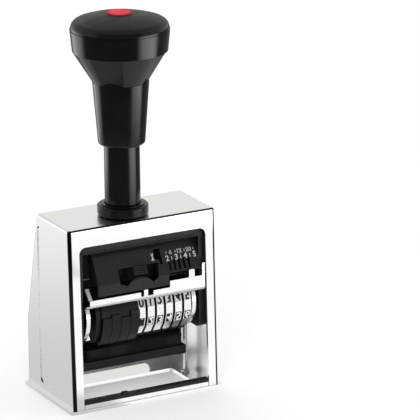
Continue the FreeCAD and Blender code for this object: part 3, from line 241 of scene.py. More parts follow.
def make_handling_marks():
    """Patches where fingers and cloths have dulled a bright surface, with finer specks inside them."""
    tree, given, result = effect("handling_marks", {"Scale": 40.0, "Cover": 0.5}, ["Mask"])
    place = object_place(tree)
    patches = mottle(tree, place, given.outputs["Scale"], 4.0)
    specks = mottle(tree, place, product(tree, given.outputs["Scale"], 22.0), 1.0)
    edge = sum_up(tree, "SUBTRACT", 1.0, given.outputs["Cover"])
    patch = spread(tree, patches, edge, sum_up(tree, "ADD", edge, 0.22))
    mixed = product(tree, patch, spread(tree, specks, 0.2, 0.7))
    tree.links.new(mixed, result.inputs["Mask"])
    return tree


def make_edge_wear():
    """A mask of the convex and concave edges, broken up by noise, where paint rubs thin and where a highlight
    is painted.
    """
    tree, given, result = effect("edge_mask", {"Width": 0.4 * MM, "Strength": 6.0}, ["Mask"])
    place = object_place(tree)
    rounded = put(tree, "Bevel", {"Radius": given.outputs["Width"]}, samples=4)
    real = put(tree, "NewGeometry")
    agree = same_way(tree, rounded.outputs[0], real.outputs["Normal"])
    turned = sum_up(tree, "SUBTRACT", 1.0, agree)
    raised = sum_up(tree, "MULTIPLY", turned, given.outputs["Strength"], clamp=True)
    broken = mottle(tree, place, 700.0, 3.0)
    worn_and_lit = product(tree, raised, spread(tree, broken, 0.4, 0.62))
    tree.links.new(worn_and_lit, result.inputs["Mask"])
    return tree


handling_marks = make_handling_marks()
edge_mask = make_edge_wear()
print("effects:", [tree.name for tree in bpy.data.node_groups])

# %% [markdown]
# A material starts from Blender's Principled BSDF. The constants go straight onto the shader's own sockets,
# and only what changes over the surface is linked, so that other programs can read the finish.

# %% Material helpers


def new_finish(name, **constants):
    """A material with its shader's constants set, as the material, its tree and its shader."""
    material = bpy.data.materials.new(name)
    material.use_nodes = True
    tree = material.node_tree
    shader = tree.nodes["Principled BSDF"]
    for socket, value in constants.items():
        shader.inputs[socket.replace("_", " ")].default_value = value
    return material, tree, shader


def group(tree, effect_tree, **values):
    """An effect placed in a material with its own values."""
    node = tree.nodes.new("ShaderNodeGroup")
    node.node_tree = effect_tree
    for socket, value in values.items():
        node.inputs[socket].default_value = value
    return node.outputs


def set_colour(tree, shader, colour):
    """Links a colour to the shader."""
    tree.links.new(colour, shader.inputs["Base Color"])


def set_roughness(tree, shader, mask, rough):
    """Links a mask to the shader's roughness: the first value where it is 0, the second where it is 1."""
    tree.links.new(spread(tree, mask, 0.0, 1.0, *rough), shader.inputs["Roughness"])


def bump(tree, shader, height, depth, strength=1.0):
    """Small relief of that depth in metres on the shader's normal."""
    node = put(tree, "Bump", {"Height": height, "Distance": depth, "Strength": strength})
    tree.links.new(node.outputs["Normal"], shader.inputs["Normal"])


print("material helpers ready")

# %% [markdown]
# The housing is pressed steel with a mirror chrome coat. A mirror has almost no colour of its own: it
# shows the room. Its real faults are faint, long waves left by the press and dull patches left by fingers.
# A bent edge squeezes the whole room into a thin line, which looks black beside the bright faces. That line
# is painted here as a dark reflection where the surface turns, so that it is there from every side, and a
# thin grey reflection line is painted along the rounded edges of the side panels. The shell's inner faces
# were never polished, and the inner face of its rear wall above the rear window is painted near black as
# shade.
# The sole is chromed too.

# %% Chrome masks
SHELL_MIDDLE = Vector((0, 2.5, 40)) * MM
REAR_WALL = 22.5 * MM
REAR_BRIGHT = 22.0 * MM
PANEL_MIDDLE = 1.5 * MM
PANEL_HALF = 12.2 * MM
PANEL_TOP = 77.0 * MM
STRIP_EDGE = (-33.4 * MM, -34.2 * MM)
STRIP_FRONT = (-18.6 * MM, -19.0 * MM)
CORNER_TURN = (0.05, 0.12)
TOP_TURN = (0.31, 0.42)


def looks_inward(tree, place, normal):
    """A mask of the shell's inner faces, whose normals point to its middle."""
    return spread(tree, same_way(tree, offset(tree, place, SHELL_MIDDLE), normal), -MM, -4 * MM)


def between(tree, normal, first, second, turn):
    """A mask of the faces whose normals lie between two of the box's directions."""
    split = axes(tree, normal)
    both = sum_up(tree, "ABSOLUTE", product(tree, split[first], split[second]))
    return spread(tree, both, *turn)


def from_panel(tree, place):
    """How far to the front or rear a point lies from the upright middle line of the side panels."""
    return sum_up(tree, "ABSOLUTE", sum_up(tree, "SUBTRACT", axes(tree, place)["Y"], PANEL_MIDDLE))


def on_bends(tree, place, normal):
    """A mask of the bent corners, the top's front and rear bends and a strip beside the near corner, where a
    dark reflection line is painted.
    """
    corners = between(tree, normal, "X", "Y", CORNER_TURN)
    corners = product(tree, corners, spread(tree, from_panel(tree, place), PANEL_HALF, PANEL_HALF + MM))
    split = axes(tree, place)
    strip = product(tree, spread(tree, split["X"], *STRIP_EDGE), spread(tree, split["Y"], *STRIP_FRONT))
    corners = larger(tree, corners, strip)
    return larger(tree, corners, between(tree, normal, "Y", "Z", TOP_TURN))


def on_panel_edges(tree, place, normal):
    """A mask of the rounded edges of the panels pressed into the sides, where a grey reflection line is
    painted.
    """
    upright = between(tree, normal, "X", "Y", CORNER_TURN)
    edges = larger(tree, upright, between(tree, normal, "X", "Z", CORNER_TURN))
    edges = product(tree, edges, spread(tree, from_panel(tree, place), PANEL_HALF + MM, PANEL_HALF))
    return product(tree, edges, spread(tree, axes(tree, place)["Z"], PANEL_TOP + MM, PANEL_TOP))


def unplated(tree, place, inward):
    """A mask of the rear wall's inner face above its bright foot, where shade is painted."""
    split = axes(tree, place)
    rear = product(tree, inward, spread(tree, split["Y"], REAR_WALL - MM, REAR_WALL))
    return product(tree, rear, spread(tree, split["Z"], REAR_BRIGHT - MM, REAR_BRIGHT))


print("side panels from", (PANEL_MIDDLE - PANEL_HALF) / MM, "to", (PANEL_MIDDLE + PANEL_HALF) / MM, "mm")

# %% [markdown]
# The masks now meet in one recipe. The roughness is the largest of what each mask asks for, and the colours
# are laid one over the other: worn creases, painted reflection lines on the panel edges and bends, and
# painted shade on the rear wall inside.

# %% Chrome finishes
PANEL_EDGE_ROUGH = 0.4
CREASE_GREY = grey(0.25)
PANEL_EDGE_REFLECTION_GREY = grey(0.6)
BEND_REFLECTION_BLACK = grey(0.012)
REAR_SHADE_BLACK = grey(0.03)


def chrome_roughness(tree, normal, inward, pressed, smooth, dull, top, inner):
    """Low where the chrome is clean, higher where it is handled, looks up or inward, or is pressed."""
    marks = group(tree, handling_marks, Scale=28.0, Cover=0.42)["Mask"]
    rough = spread(tree, marks, 0.0, 1.0, smooth, dull)
    rough = larger(tree, rough, spread(tree, axes(tree, normal)["Z"], 0.8, 0.97, 0.0, top))
    rough = larger(tree, rough, product(tree, inward, inner))
    return larger(tree, rough, product(tree, pressed, PANEL_EDGE_ROUGH))


def chrome(name, colour, smooth, dull, wave, top, inner, bend):
    """Mirror chrome, duller where it is handled, looks up or looks inward, with painted reflection lines in
    its bends and panel edges, and painted shade inside its rear wall.
    """
    material, tree, shader = new_finish(name, Metallic=1.0)
    coordinates = put(tree, "TexCoord").outputs
    place, normal = coordinates["Object"], coordinates["Normal"]
    inward = looks_inward(tree, place, normal)
    pressed = on_panel_edges(tree, place, normal)
    rough = chrome_roughness(tree, normal, inward, pressed, smooth, dull, top, inner)
    tree.links.new(rough, shader.inputs["Roughness"])
    creases = group(tree, edge_mask, Width=0.4 * MM, Strength=3.0)["Mask"]
    shown = mix_colour(tree, product(tree, creases, 0.6), colour, CREASE_GREY)
    # painted reflection: a grey line along the rounded edges of the side panels
    shown = mix_colour(tree, pressed, shown, PANEL_EDGE_REFLECTION_GREY)
    # painted reflection: a dark line in the bends and in a strip beside the near corner
    shown = mix_colour(tree, product(tree, on_bends(tree, place, normal), bend), shown, BEND_REFLECTION_BLACK)
    # painted shade: the rear wall's inner face goes near black above its foot
    shown = mix_colour(tree, unplated(tree, place, inward), shown, REAR_SHADE_BLACK)
    set_colour(tree, shader, shown)
    bump(tree, shader, mottle(tree, place, 35.0, 1.0), wave)
    return material


finishes = {
    "polished_chrome": chrome(
        "mirror_chrome", (0.93, 0.93, 0.925, 1), smooth=0.03, dull=0.06, wave=0.03 * MM,
        top=0.24, inner=0.3, bend=1.0,
    ),
    "sole_plate": chrome(
        "rubbed_chrome", (0.9, 0.9, 0.895, 1), smooth=0.06, dull=0.14, wave=0.03 * MM,
        top=0.1, inner=0.0, bend=0.0,
    ),
}
print("chrome finishes:", len(finishes))

# %% [markdown]
# The handle, its tube and the lock ring are black plastic and black enamel. Both are shiny, but a moulded
# part has a very fine skin that spreads its highlights. The cap is the same plastic with a satin skin, so
# it looks dark grey and shows no sharp reflection.

# %% Black and red finishes
CAP_RIM_TOP = 164.6 * MM
CAP_SOFT = 0.25 * MM
DOT_CENTRE = Vector((-2.9, -5.4, 0)) * MM
DOT_EDGE = 4.5 * MM
GLOSS = 0.28


def moulded(name, colour, rough, grain, depth, shine):
    """Moulded or enamelled surface with a fine skin."""
    material, tree, shader = new_finish(name, Base_Color=colour, Specular_IOR_Level=shine)
    skin = group(tree, moulded_grain, Scale=grain)
    set_roughness(tree, shader, skin["Mask"], rough)
    bump(tree, shader, skin["Height"], depth)
    return material


def cap_finish():
    """Black plastic, polished on the cap's rim and satin grey on the dome above it."""
    material, tree, shader = new_finish("satin_domed_plastic", Specular_IOR_Level=GLOSS)
    height = axes(tree, object_place(tree))["Z"]
    dome = spread(tree, height, CAP_RIM_TOP - CAP_SOFT, CAP_RIM_TOP + CAP_SOFT)
    skin = group(tree, moulded_grain, Scale=2200.0)
    set_colour(tree, shader, mix_colour(tree, dome, grey(0.002), grey(0.011)))
    polish = spread(tree, skin["Mask"], 0.0, 1.0, 0.17, 0.22)
    satin = spread(tree, skin["Mask"], 0.0, 1.0, 0.44, 0.5)
    rough = put(tree, "Mix", {0: dome, 2: polish, 3: satin}).outputs[0]
    tree.links.new(rough, shader.inputs["Roughness"])
    bump(tree, shader, skin["Height"], 0.006 * MM)
    return material


def button_finish():
    """Red plastic with painted shade round its edge, where it dips into the cap."""
    material, tree, shader = new_finish("red_button_plastic", Specular_IOR_Level=0.12)
    split = axes(tree, object_place(tree))
    level = put(tree, "CombineXYZ", {0: split["X"], 1: split["Y"]}).outputs[0]
    off = put(tree, "VectorMath", {0: level, 1: tuple(DOT_CENTRE)}, operation="DISTANCE").outputs["Value"]
    # painted shade: the dot darkens towards its rim, where it dips into the cap
    edge = spread(tree, off, DOT_EDGE - 0.3 * MM, DOT_EDGE + 0.4 * MM)
    colour = mix_colour(tree, edge, (0.9, 0.06, 0.085, 1), (0.42, 0.012, 0.024, 1))
    set_colour(tree, shader, colour)
    skin = group(tree, moulded_grain, Scale=1800.0)
    set_roughness(tree, shader, skin["Mask"], (0.5, 0.6))
    bump(tree, shader, skin["Height"], 0.006 * MM)
    return material


finishes["handle_plastic"] = moulded(
    "polished_black_plastic", grey(0.0018), rough=(0.15, 0.21),
    grain=1500.0, depth=0.003 * MM, shine=GLOSS,
)
finishes["black_enamel"] = moulded(
    "black_enamel_coat", grey(0.0022), rough=(0.14, 0.2),
    grain=1200.0, depth=0.003 * MM, shine=GLOSS,
)
finishes["cap_plastic"] = cap_finish()
finishes["red_plastic"] = button_finish()
print("finishes so far:", len(finishes))

# %% [markdown]
# The head and its sloping panel are steel with satin black paint. Paint wears first on the edges, where a
# little of the metal shines through. The same lighter edges also stand for a painted highlight, such as the
# light line along the lintel's bead.

# %% Paint finishes


def rubbed_paint(name, colour, bare_and_highlight, rough, wear_and_highlight):
    """Satin black paint on steel, lighter along the edges, where it is rubbed thin and where a highlight is
    painted.
    """
    material, tree, shader = new_finish(name, Specular_IOR_Level=0.3)
    skin = group(tree, moulded_grain, Scale=1600.0)
    worn_and_lit = group(tree, edge_mask, Width=0.35 * MM, Strength=wear_and_highlight)["Mask"]
    # lighter edges: real wear and a painted highlight, strongest on the head
    set_colour(tree, shader, mix_colour(tree, worn_and_lit, colour, bare_and_highlight))
    set_roughness(tree, shader, skin["Mask"], rough)
    bump(tree, shader, skin["Height"], 0.008 * MM)
    return material


finishes["head_metal"] = rubbed_paint(
    "head_black_paint", (0.012, 0.012, 0.013, 1), bare_and_highlight=grey(0.1),
    rough=(0.4, 0.52), wear_and_highlight=9.0,
)
finishes["panel_black"] = rubbed_paint(
    "panel_black_paint", (0.014, 0.0135, 0.0145, 1), bare_and_highlight=grey(0.04),
    rough=(0.42, 0.55), wear_and_highlight=2.0,
)
print("finishes so far:", len(finishes))

# %% [markdown]
# The small steel parts differ in how they were finished. The bail and the pointers are nickel plated and
# brushed, screws and rods are ground, springs are left from the wire mill. All of them are metal with fine
# lines, so one recipe serves with other numbers.

# %% Steel finishes


def brushed(name, colour, rough, lines, stretch, depth):
    """Bright steel with fine parallel lines."""
    material, tree, shader = new_finish(name, Metallic=1.0, Base_Color=colour)
    brush = group(tree, brush_lines, Scale=lines, Stretch=stretch)
    set_roughness(tree, shader, brush["Mask"], rough)
    bump(tree, shader, brush["Height"], depth)
    return material


finishes["plated_steel"] = brushed(
    "brushed_nickel", (0.86, 0.86, 0.85, 1), rough=(0.2, 0.3),
    lines=2500.0, stretch=0.03, depth=0.003 * MM,
)
finishes["ground_steel"] = brushed(
    "ground_steel", (0.62, 0.62, 0.63, 1), rough=(0.2, 0.36),
    lines=3000.0, stretch=0.3, depth=0.006 * MM,
)
finishes["spring_steel"] = brushed(
    "spring_wire", (0.48, 0.48, 0.5, 1), rough=(0.28, 0.42),
    lines=1800.0, stretch=0.5, depth=0.005 * MM,
)
print("finishes so far:", len(finishes))

# %% [markdown]
# The bail is nickel plated on its face. Its rolled lower lip gets painted shade that greys it towards its
# foot, and its arms behind the face are painted dark as shade. Its left ear has gone dull, so that it looks
# white rather than bright.

# %% Bail finish
FACE_REAR = -16.2 * MM
LIP_LOW = 46.2 * MM
LIP_HIGH = 47.2 * MM
EAR_RIGHT = -24.3 * MM
EAR_LOW = 48.6 * MM


def bail_finish():
    """Brushed nickel with painted shade on its lip and arms, and a dull left ear."""
    material, tree, shader = new_finish("bail_nickel")
    split = axes(tree, object_place(tree))
    lip_shade = spread(tree, split["Z"], LIP_HIGH, LIP_LOW, 0.0, 0.75)
    behind = spread(tree, split["Y"], FACE_REAR, FACE_REAR + MM)
    left = spread(tree, split["X"], EAR_RIGHT + 0.3 * MM, EAR_RIGHT)
    ear = product(tree, left, spread(tree, split["Z"], EAR_LOW, EAR_LOW + 0.5 * MM))
    # painted shade: grey on the lower lip and near black on the arms behind the face
    colour = mix_colour(tree, lip_shade, grey(0.87), grey(0.42))
    colour = mix_colour(tree, behind, colour, grey(0.05))
    set_colour(tree, shader, mix_colour(tree, ear, colour, grey(0.6)))
    tree.links.new(spread(tree, ear, 0.0, 1.0, 1.0, 0.15), shader.inputs["Metallic"])
    brush = group(tree, brush_lines, Scale=2500.0, Stretch=0.03)
    set_roughness(tree, shader, brush["Mask"], (0.2, 0.3))
    bump(tree, shader, brush["Height"], 0.003 * MM)
    return material


bail_nickel = bail_finish()
print("bail finish ready")

# %% [markdown]
# The number wheels are bright steel rings. Ink creeps down from the types and stays in the low places:
# beside the rim and in the ratchet's teeth. So the material measures how far a point lies from the wheel's
# axle and darkens what lies deeper than the rim, with a broken edge.

# %% Wheel finish
WHEEL_AXLE = Vector((0, -2.9, 39.2)) * MM
WHEEL_RIM = 14.3 * MM
FIRST_WHEEL = -9.34 * MM
WHEEL_PITCH = 4.42 * MM
TYPE_STEP = 36.0
PRINTING_ANGLE = 270.0
CLEAN_ROW = 162.0
CLEAN_HALF = 9.0
RATCHET_SIDE = -0.36
INK = (0.03, 0.03, 0.034, 1)


def near_angle(tree, angle, degrees, half, soft):
    """A mask of the angles within half of those degrees, with soft sides."""
    off = sum_up(tree, "ABSOLUTE", sum_up(tree, "SUBTRACT", angle, math.radians(degrees)))
    return spread(tree, off, math.radians(half + soft), math.radians(half - soft))


def type_facet(tree, angle):
    """A mask of the flats that carry a type: every second one, counted from the one that prints."""
    turned = sum_up(tree, "SUBTRACT", angle, math.radians(PRINTING_ANGLE))
    counted = sum_up(tree, "DIVIDE", turned, math.radians(TYPE_STEP))
    off = sum_up(tree, "PINGPONG", counted, 0.5)
    return spread(tree, off, 0.26, 0.22)


def off_middle(tree, across):
    """How far a point lies from the middle of its wheel's rim, in wheel pitches, from -0.5 to 0.5."""
    counted = sum_up(tree, "DIVIDE", sum_up(tree, "SUBTRACT", across, FIRST_WHEEL), WHEEL_PITCH)
    part = sum_up(tree, "FRACT", sum_up(tree, "ADD", counted, 0.5))
    return sum_up(tree, "SUBTRACT", part, 0.5)


def wheel_place(tree):
    """A point's place on its wheel: across the wheel, round it in radians, and away from the axle."""
    split = axes(tree, offset(tree, object_place(tree), WHEEL_AXLE))
    flat = put(tree, "CombineXYZ", {1: split["Y"], 2: split["Z"]})
    away = put(tree, "VectorMath", {0: flat.outputs[0]}, operation="LENGTH").outputs["Value"]
    return split["X"], sum_up(tree, "ARCTAN2", split["Z"], split["Y"]), away


def wheel_finish():
    """Bright wheel metal with ink below the rim and round the types."""
    material, tree, shader = new_finish("inked_wheel_steel", Metallic=1.0)
    across, angle, away = wheel_place(tree)
    deep = spread(tree, away, WHEEL_RIM * 0.993, WHEEL_RIM * 0.955)
    clean = near_angle(tree, angle, CLEAN_ROW, CLEAN_HALF, 1.0)
    floor = product(tree, type_facet(tree, angle), sum_up(tree, "SUBTRACT", 1.0, clean))
    off = off_middle(tree, across)
    floor = product(tree, floor, spread(tree, sum_up(tree, "ABSOLUTE", off), 0.33, 0.28))
    low = larger(tree, deep, spread(tree, off, RATCHET_SIDE, RATCHET_SIDE - 0.025))
    marks = group(tree, handling_marks, Scale=260.0, Cover=0.45)["Mask"]
    inked = larger(tree, larger(tree, low, floor), product(tree, marks, 0.25))
    colour = mix_colour(tree, inked, (0.84, 0.84, 0.83, 1), INK)
    set_colour(tree, shader, colour)
    set_roughness(tree, shader, inked, (0.24, 0.5))
    brush = group(tree, brush_lines, Scale=2200.0, Stretch=0.1)
    bump(tree, shader, brush["Height"], 0.006 * MM)
    return material


finishes["wheel_metal"] = wheel_finish()
print("wheel finish ready")

# %% [markdown]
# The ink pad is felt soaked in black ink. Felt has no weave, only a mat of short fibres, and the ink lies
# unevenly, darker and wetter in patches. Some sheen at grazing angles gives the fibres away.

# %% Felt finish


def felt_finish():
    """Black inked felt."""
    material, tree, shader = new_finish(
        "inked_felt", Sheen_Weight=0.06, Sheen_Roughness=0.4, Specular_IOR_Level=0.2,
    )
    place = object_place(tree)
    fibres = put(tree, "TexNoise", {"Vector": place, "Scale": 2600.0, "Detail": 4.0, "Distortion": 1.2})
    wet = spread(tree, mottle(tree, place, 90.0, 3.0), 0.4, 0.62)
    colour = mix_colour(tree, wet, (0.008, 0.008, 0.009, 1), (0.003, 0.003, 0.004, 1))
    set_colour(tree, shader, colour)
    set_roughness(tree, shader, wet, (0.85, 0.45))
    bump(tree, shader, fibres.outputs["Fac"], 0.05 * MM)
    return material


finishes["ink_felt"] = felt_finish()
print("felt finish ready")

# %% [markdown]
# Each rigid piece of the frame came in with a plain material whose name says what the piece is made of.
# Swapping it for the finish of that name dresses the whole machine at once and leaves no piece plain.

# %% Dressing the frame
duller_enamel = moulded(
    "satin_enamel_coat", grey(0.004), rough=(0.36, 0.46),
    grain=1500.0, depth=0.004 * MM, shine=0.22,
)
OWN_FINISH = {"pad_carrier": duller_enamel, "wheel_cover": duller_enamel, "switch_bail": bail_nickel}


def dress(name, node):
    """Puts the full finish in place of the plain one on each of the node's slots."""
    for place in node.material_slots:
        place.material = OWN_FINISH.get(name) or finishes[place.material.name]


for name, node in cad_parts.items():
    dress(name, node)
print("dressed:", len(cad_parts), "nodes")

# %% [markdown]
# Numerals. Each wheel carries the ten of them raised on every other flat of its rim, and the scale above the
# wheels is printed with some more. Blender's own font gives the outline of a numeral. It is turned into a
# mesh, scaled to one unit high, and then placed by a matrix whose columns are its across, up and out.

# %% Numeral meshes
BOLD = 0.018


def numeral_mesh(text, outline=None, bold=0.0):
    """A numeral one unit high and one unit thick, centred, as a mesh. An outline is a tube of that radius."""
    curve = bpy.data.curves.new("numeral", "FONT")
    curve.body = text
    curve.resolution_u = 4
    curve.offset = bold
    if outline is None:
        curve.extrude = 0.5
    else:
        curve.fill_mode = "NONE"
        curve.bevel_depth = outline
        curve.bevel_resolution = 1
    holder = bpy.data.objects.new("numeral", curve)
    bpy.context.scene.collection.objects.link(holder)
    bpy.context.view_layer.update()
    mesh = bpy.data.meshes.new_from_object(holder.evaluated_get(bpy.context.evaluated_depsgraph_get()))
    bpy.data.objects.remove(holder)
    bpy.data.curves.remove(curve)
    low = Vector([min(v.co[axis] for v in mesh.vertices) for axis in range(3)])
    high = Vector([max(v.co[axis] for v in mesh.vertices) for axis in range(3)])
    tall = high.y - low.y
    middle = (low + high) / 2
    mesh.transform(Matrix.Diagonal((1 / tall, 1 / tall, 1, 1)) @ Matrix.Translation(-middle))
    return mesh


def frame_matrix(origin, across, up, out):
    """The matrix whose columns are those three directions, each as long as one unit of the mesh becomes."""
    matrix = Matrix((across, up, out)).transposed().to_4x4()
    matrix.translation = origin
    return matrix


def as_piece(name, shape, material):
    """An object made from a finished shape, with its material."""
    mesh = bpy.data.meshes.new(name)
    shape.to_mesh(mesh)
    shape.free()
    mesh.materials.append(material)
    piece = bpy.data.objects.new(name, mesh)
    bpy.context.scene.collection.objects.link(piece)
    return piece


def joined(name, parts, material):
    """One object from meshes with their places. A mirrored place turns its faces the right way again."""
    whole = bmesh.new()
    for mesh, place in parts:
        copy = mesh.copy()
        copy.transform(place)
        if place.determinant() < 0:
            copy.flip_normals()
        whole.from_mesh(copy)
        bpy.data.meshes.remove(copy)
    return as_piece(name, whole, material)


NUMERALS = [numeral_mesh(str(n), bold=BOLD) for n in range(10)]
print("numeral faces:", [len(mesh.polygons) for mesh in NUMERALS])

# %% [markdown]
# A wheel's flats lie 18 degrees apart. The flat at the very bottom holds the numeral that prints, and the
# types follow at every second flat. The angle is counted in the wheel's own plane from the rear towards
# the top, so the numeral that prints stands at 270 degrees. Up, on a type, is the way the angle grows. The
# types of wheel 1 start at 1, of wheel 2 at 2, and so on. A type is tall for so small a wheel, so its
# printing face is curved like the rim, or its ends would stick out.

# %% Wheel numerals
WHEELS = 8
TYPE_TALL = 3.9 * MM
TYPE_NARROW = 0.92
TYPE_RISE = 0.28 * MM
TYPE_ROOT = 0.1 * MM
TYPE_SAG = TYPE_TALL ** 2 / (2 * WHEEL_RIM) / (TYPE_RISE + TYPE_ROOT)


def on_rim(wheel, degrees):
    """The place of a type on the rim of a wheel, from a little below its flat to its printing face."""
    angle = math.radians(degrees)
    out = Vector((0, math.cos(angle), math.sin(angle)))
    up = Vector((0, -math.sin(angle), math.cos(angle)))
    centre = Vector((FIRST_WHEEL + WHEEL_PITCH * (wheel - 1), WHEEL_AXLE.y, WHEEL_AXLE.z))
    origin = centre + out * (WHEEL_RIM + (TYPE_RISE - TYPE_ROOT) / 2)
    across = Vector((TYPE_TALL * TYPE_NARROW, 0, 0))
    return frame_matrix(origin, across, up * TYPE_TALL, out * (TYPE_RISE + TYPE_ROOT))


def curved(mesh):
    """A copy of a numeral whose printing face follows the round of the wheel."""
    copy = mesh.copy()
    for vertex in copy.vertices:
        vertex.co.z -= vertex.co.y ** 2 * TYPE_SAG
    return copy


def wheel_types(wheel):
    """The raised types of one wheel."""
    types = []
    for step in range(10):
        types.append((CURVED[(wheel + step) % 10], on_rim(wheel, PRINTING_ANGLE + TYPE_STEP * step)))
    raised = joined(f"wheel_{wheel}_types", types, type_finish)
    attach(raised, f"wheel_{wheel}")
    return raised


def type_metal():
    """The bright top of a type with traces of ink, and fresh ink on the row under the bail."""
    material, tree, shader = new_finish("type_steel", Metallic=1.0)
    angle, away = wheel_place(tree)[1:]
    fresh = near_angle(tree, angle, CLEAN_ROW, CLEAN_HALF, 1.0)
    marks = group(tree, handling_marks, Scale=500.0, Cover=0.5)["Mask"]
    sides = spread(tree, away, WHEEL_RIM + TYPE_RISE * 0.93, WHEEL_RIM + TYPE_RISE * 0.8)
    inked = larger(tree, larger(tree, fresh, product(tree, marks, 0.5)), sides)
    colour = mix_colour(tree, inked, (0.86, 0.86, 0.85, 1), INK)
    set_colour(tree, shader, colour)
    set_roughness(tree, shader, inked, (0.22, 0.45))
    return material


CURVED = [curved(mesh) for mesh in NUMERALS]
type_finish = type_metal()
wheel_pieces = [wheel_types(wheel) for wheel in range(1, WHEELS + 1)]
print("wheels with types:", len(wheel_pieces))

# %% [markdown]
# The slanted panel above the wheels is printed in white with the settings of the repeat pointer: a row of
# plain numerals with a tick between them, and above it a smaller row in outline. The finger plate has a
# small crossed mark beside its window. Print has almost no thickness, so it stands a few hundredths proud.

# %% Print places
PANEL_FOOT = Vector((0, -18.0, 55.2)) * MM
PANEL_LEAN = math.radians(26.565)
PANEL_UP = Vector((0, math.sin(PANEL_LEAN), math.cos(PANEL_LEAN)))
PANEL_OUT = Vector((0, -math.cos(PANEL_LEAN), math.sin(PANEL_LEAN)))
PRINT_DEEP = 0.02 * MM
PRINT_PROUD = 0.05 * MM
PLATE_THICK = 0.9 * MM
ROW_FIRST = 13.05 * MM
ROW_PITCH = 4.37 * MM
LOWER_ROW = 6.5 * MM
LOWER_TALL = 2.5 * MM
UPPER_ROW = 8.95 * MM
UPPER_TALL = 1.8 * MM
UPPER_WIDE = 1.15
UPPER_SHIFT = 2.05 * MM
TICK_WIDE = 0.34 * MM
UPPER_TICK = 1.0 * MM
LOWER_TICK = 1.7 * MM
OUTLINE = 0.03
MARK_PLACE = (5.8 * MM, 8.0 * MM)
MARK_LEAN = 17.0
MARK_TALL = 3.5 * MM
MARK_WIDE = 0.32 * MM
MARK_FOOT = 1.5 * MM


def on_panel(across, up, wide, tall, face=0.0):
    """The place of a print on the panel, or on a plate of that thickness before it."""
    thick = PRINT_DEEP + PRINT_PROUD
    origin = Vector((across, 0, 0)) + PANEL_FOOT + PANEL_UP * up
    origin += PANEL_OUT * (face + (PRINT_PROUD - PRINT_DEEP) / 2)
    return frame_matrix(origin, Vector((wide, 0, 0)), PANEL_UP * tall, PANEL_OUT * thick)


def tick_mesh():
    """A unit bar with rounded upright edges, for the strokes of a scale."""
    bar = bmesh.new()
    bmesh.ops.create_cube(bar, size=1.0)
    upright = [e for e in bar.edges if abs(e.verts[0].co.z - e.verts[1].co.z) > 0.5]
    bmesh.ops.bevel(bar, geom=upright, offset=0.2, segments=3, affect="EDGES")
    mesh = bpy.data.meshes.new("tick")
    bar.to_mesh(mesh)
    bar.free()
    return mesh


print("panel leans by", round(math.degrees(PANEL_LEAN), 1), "degrees")

# %% [markdown]
# With the places known, the print is one object for the scale and one for the finger plate's mark. Both get
# the same white ink, which is a little thin in places.

# %% Panel print


def white_print():
    """White printing ink, a little thin in places."""
    material, tree, shader = new_finish("white_print", Specular_IOR_Level=0.3)
    skin = group(tree, moulded_grain, Scale=2400.0)
    colour = mix_colour(tree, skin["Mask"], grey(0.62), grey(0.78))
    set_colour(tree, shader, colour)
    set_roughness(tree, shader, skin["Mask"], (0.5, 0.6))
    return material


def panel_print():
    """Both rows of the scale with their ticks."""
    tick = tick_mesh()
    parts = []
    for place, text in enumerate(("2", "3", "4", "5")):
        across = ROW_FIRST + ROW_PITCH * place
        parts.append((NUMERALS[int(text)], on_panel(across, LOWER_ROW, LOWER_TALL, LOWER_TALL)))
        parts.append((tick, on_panel(across, UPPER_ROW, TICK_WIDE * 0.8, UPPER_TICK)))
    for place, text in enumerate(("6", "12", "20")):
        across = ROW_FIRST + UPPER_SHIFT + ROW_PITCH * place
        outline = numeral_mesh(text, outline=OUTLINE)
        parts.append((outline, on_panel(across, UPPER_ROW, UPPER_TALL * UPPER_WIDE, UPPER_TALL)))
        parts.append((tick, on_panel(across + 0.1 * MM, LOWER_ROW - 0.2 * MM, TICK_WIDE, LOWER_TICK)))
    return joined("scale_print", parts, print_ink)


def slanted(place, degrees):
    """The same place on the panel, turned in the panel's plane."""
    turn = Matrix.Rotation(math.radians(degrees), 4, PANEL_OUT)
    origin = Matrix.Translation(place.translation)
    return origin @ turn @ origin.inverted() @ place


def plate_mark():
    """The mark on the finger plate beside the window: two strokes that cross, wider apart at the foot."""
    parts = []
    for degrees in (-MARK_LEAN, MARK_LEAN):
        stroke = on_panel(MARK_PLACE[0], MARK_PLACE[1], MARK_WIDE, MARK_TALL, PLATE_THICK)
        parts.append((tick_mesh(), slanted(stroke, degrees)))
    foot = on_panel(MARK_PLACE[0], MARK_PLACE[1] - MARK_TALL * 0.36, MARK_FOOT, MARK_WIDE, PLATE_THICK)
    parts.append((tick_mesh(), foot))
    return joined("plate_print", parts, print_ink)


print_ink = white_print()
scale_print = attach(panel_print(), "head")
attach(plate_mark(), "head")
print("printed faces:", len(scale_print.data.polygons))

# %% [markdown]
# The ink pad is a slab of felt pressed into its tray. A plain box would look like plastic, so the slab gets
# rounded edges, a crown, sides that pull in between top and bottom, and a slightly lumpy surface. It is
# made by moving the points of a finely divided box, and it takes the place of the plain CAD felt.

# %% Ink pad
PAD_ROUND = 0.9 * MM
PAD_CROWN = 0.35 * MM
PAD_WAIST = 0.25 * MM
PAD_LUMP = 0.09 * MM
PAD_CELL = 0.6 * MM


def divided_box(size):
    """A closed box of that size about the origin, divided into cells."""
    box = bmesh.new()
    bmesh.ops.create_cube(box, size=1.0)
    for axis in range(3):
        cuts = max(3, round(size[axis] / PAD_CELL))
        along = [
            e for e in box.edges
            if abs((e.verts[0].co - e.verts[1].co)[axis]) > 0.9
        ]
        bmesh.ops.subdivide_edges(box, edges=along, cuts=cuts, use_grid_fill=True)
    for vertex in box.verts:
        vertex.co = Vector([vertex.co[axis] * size[axis] for axis in range(3)])
    return box


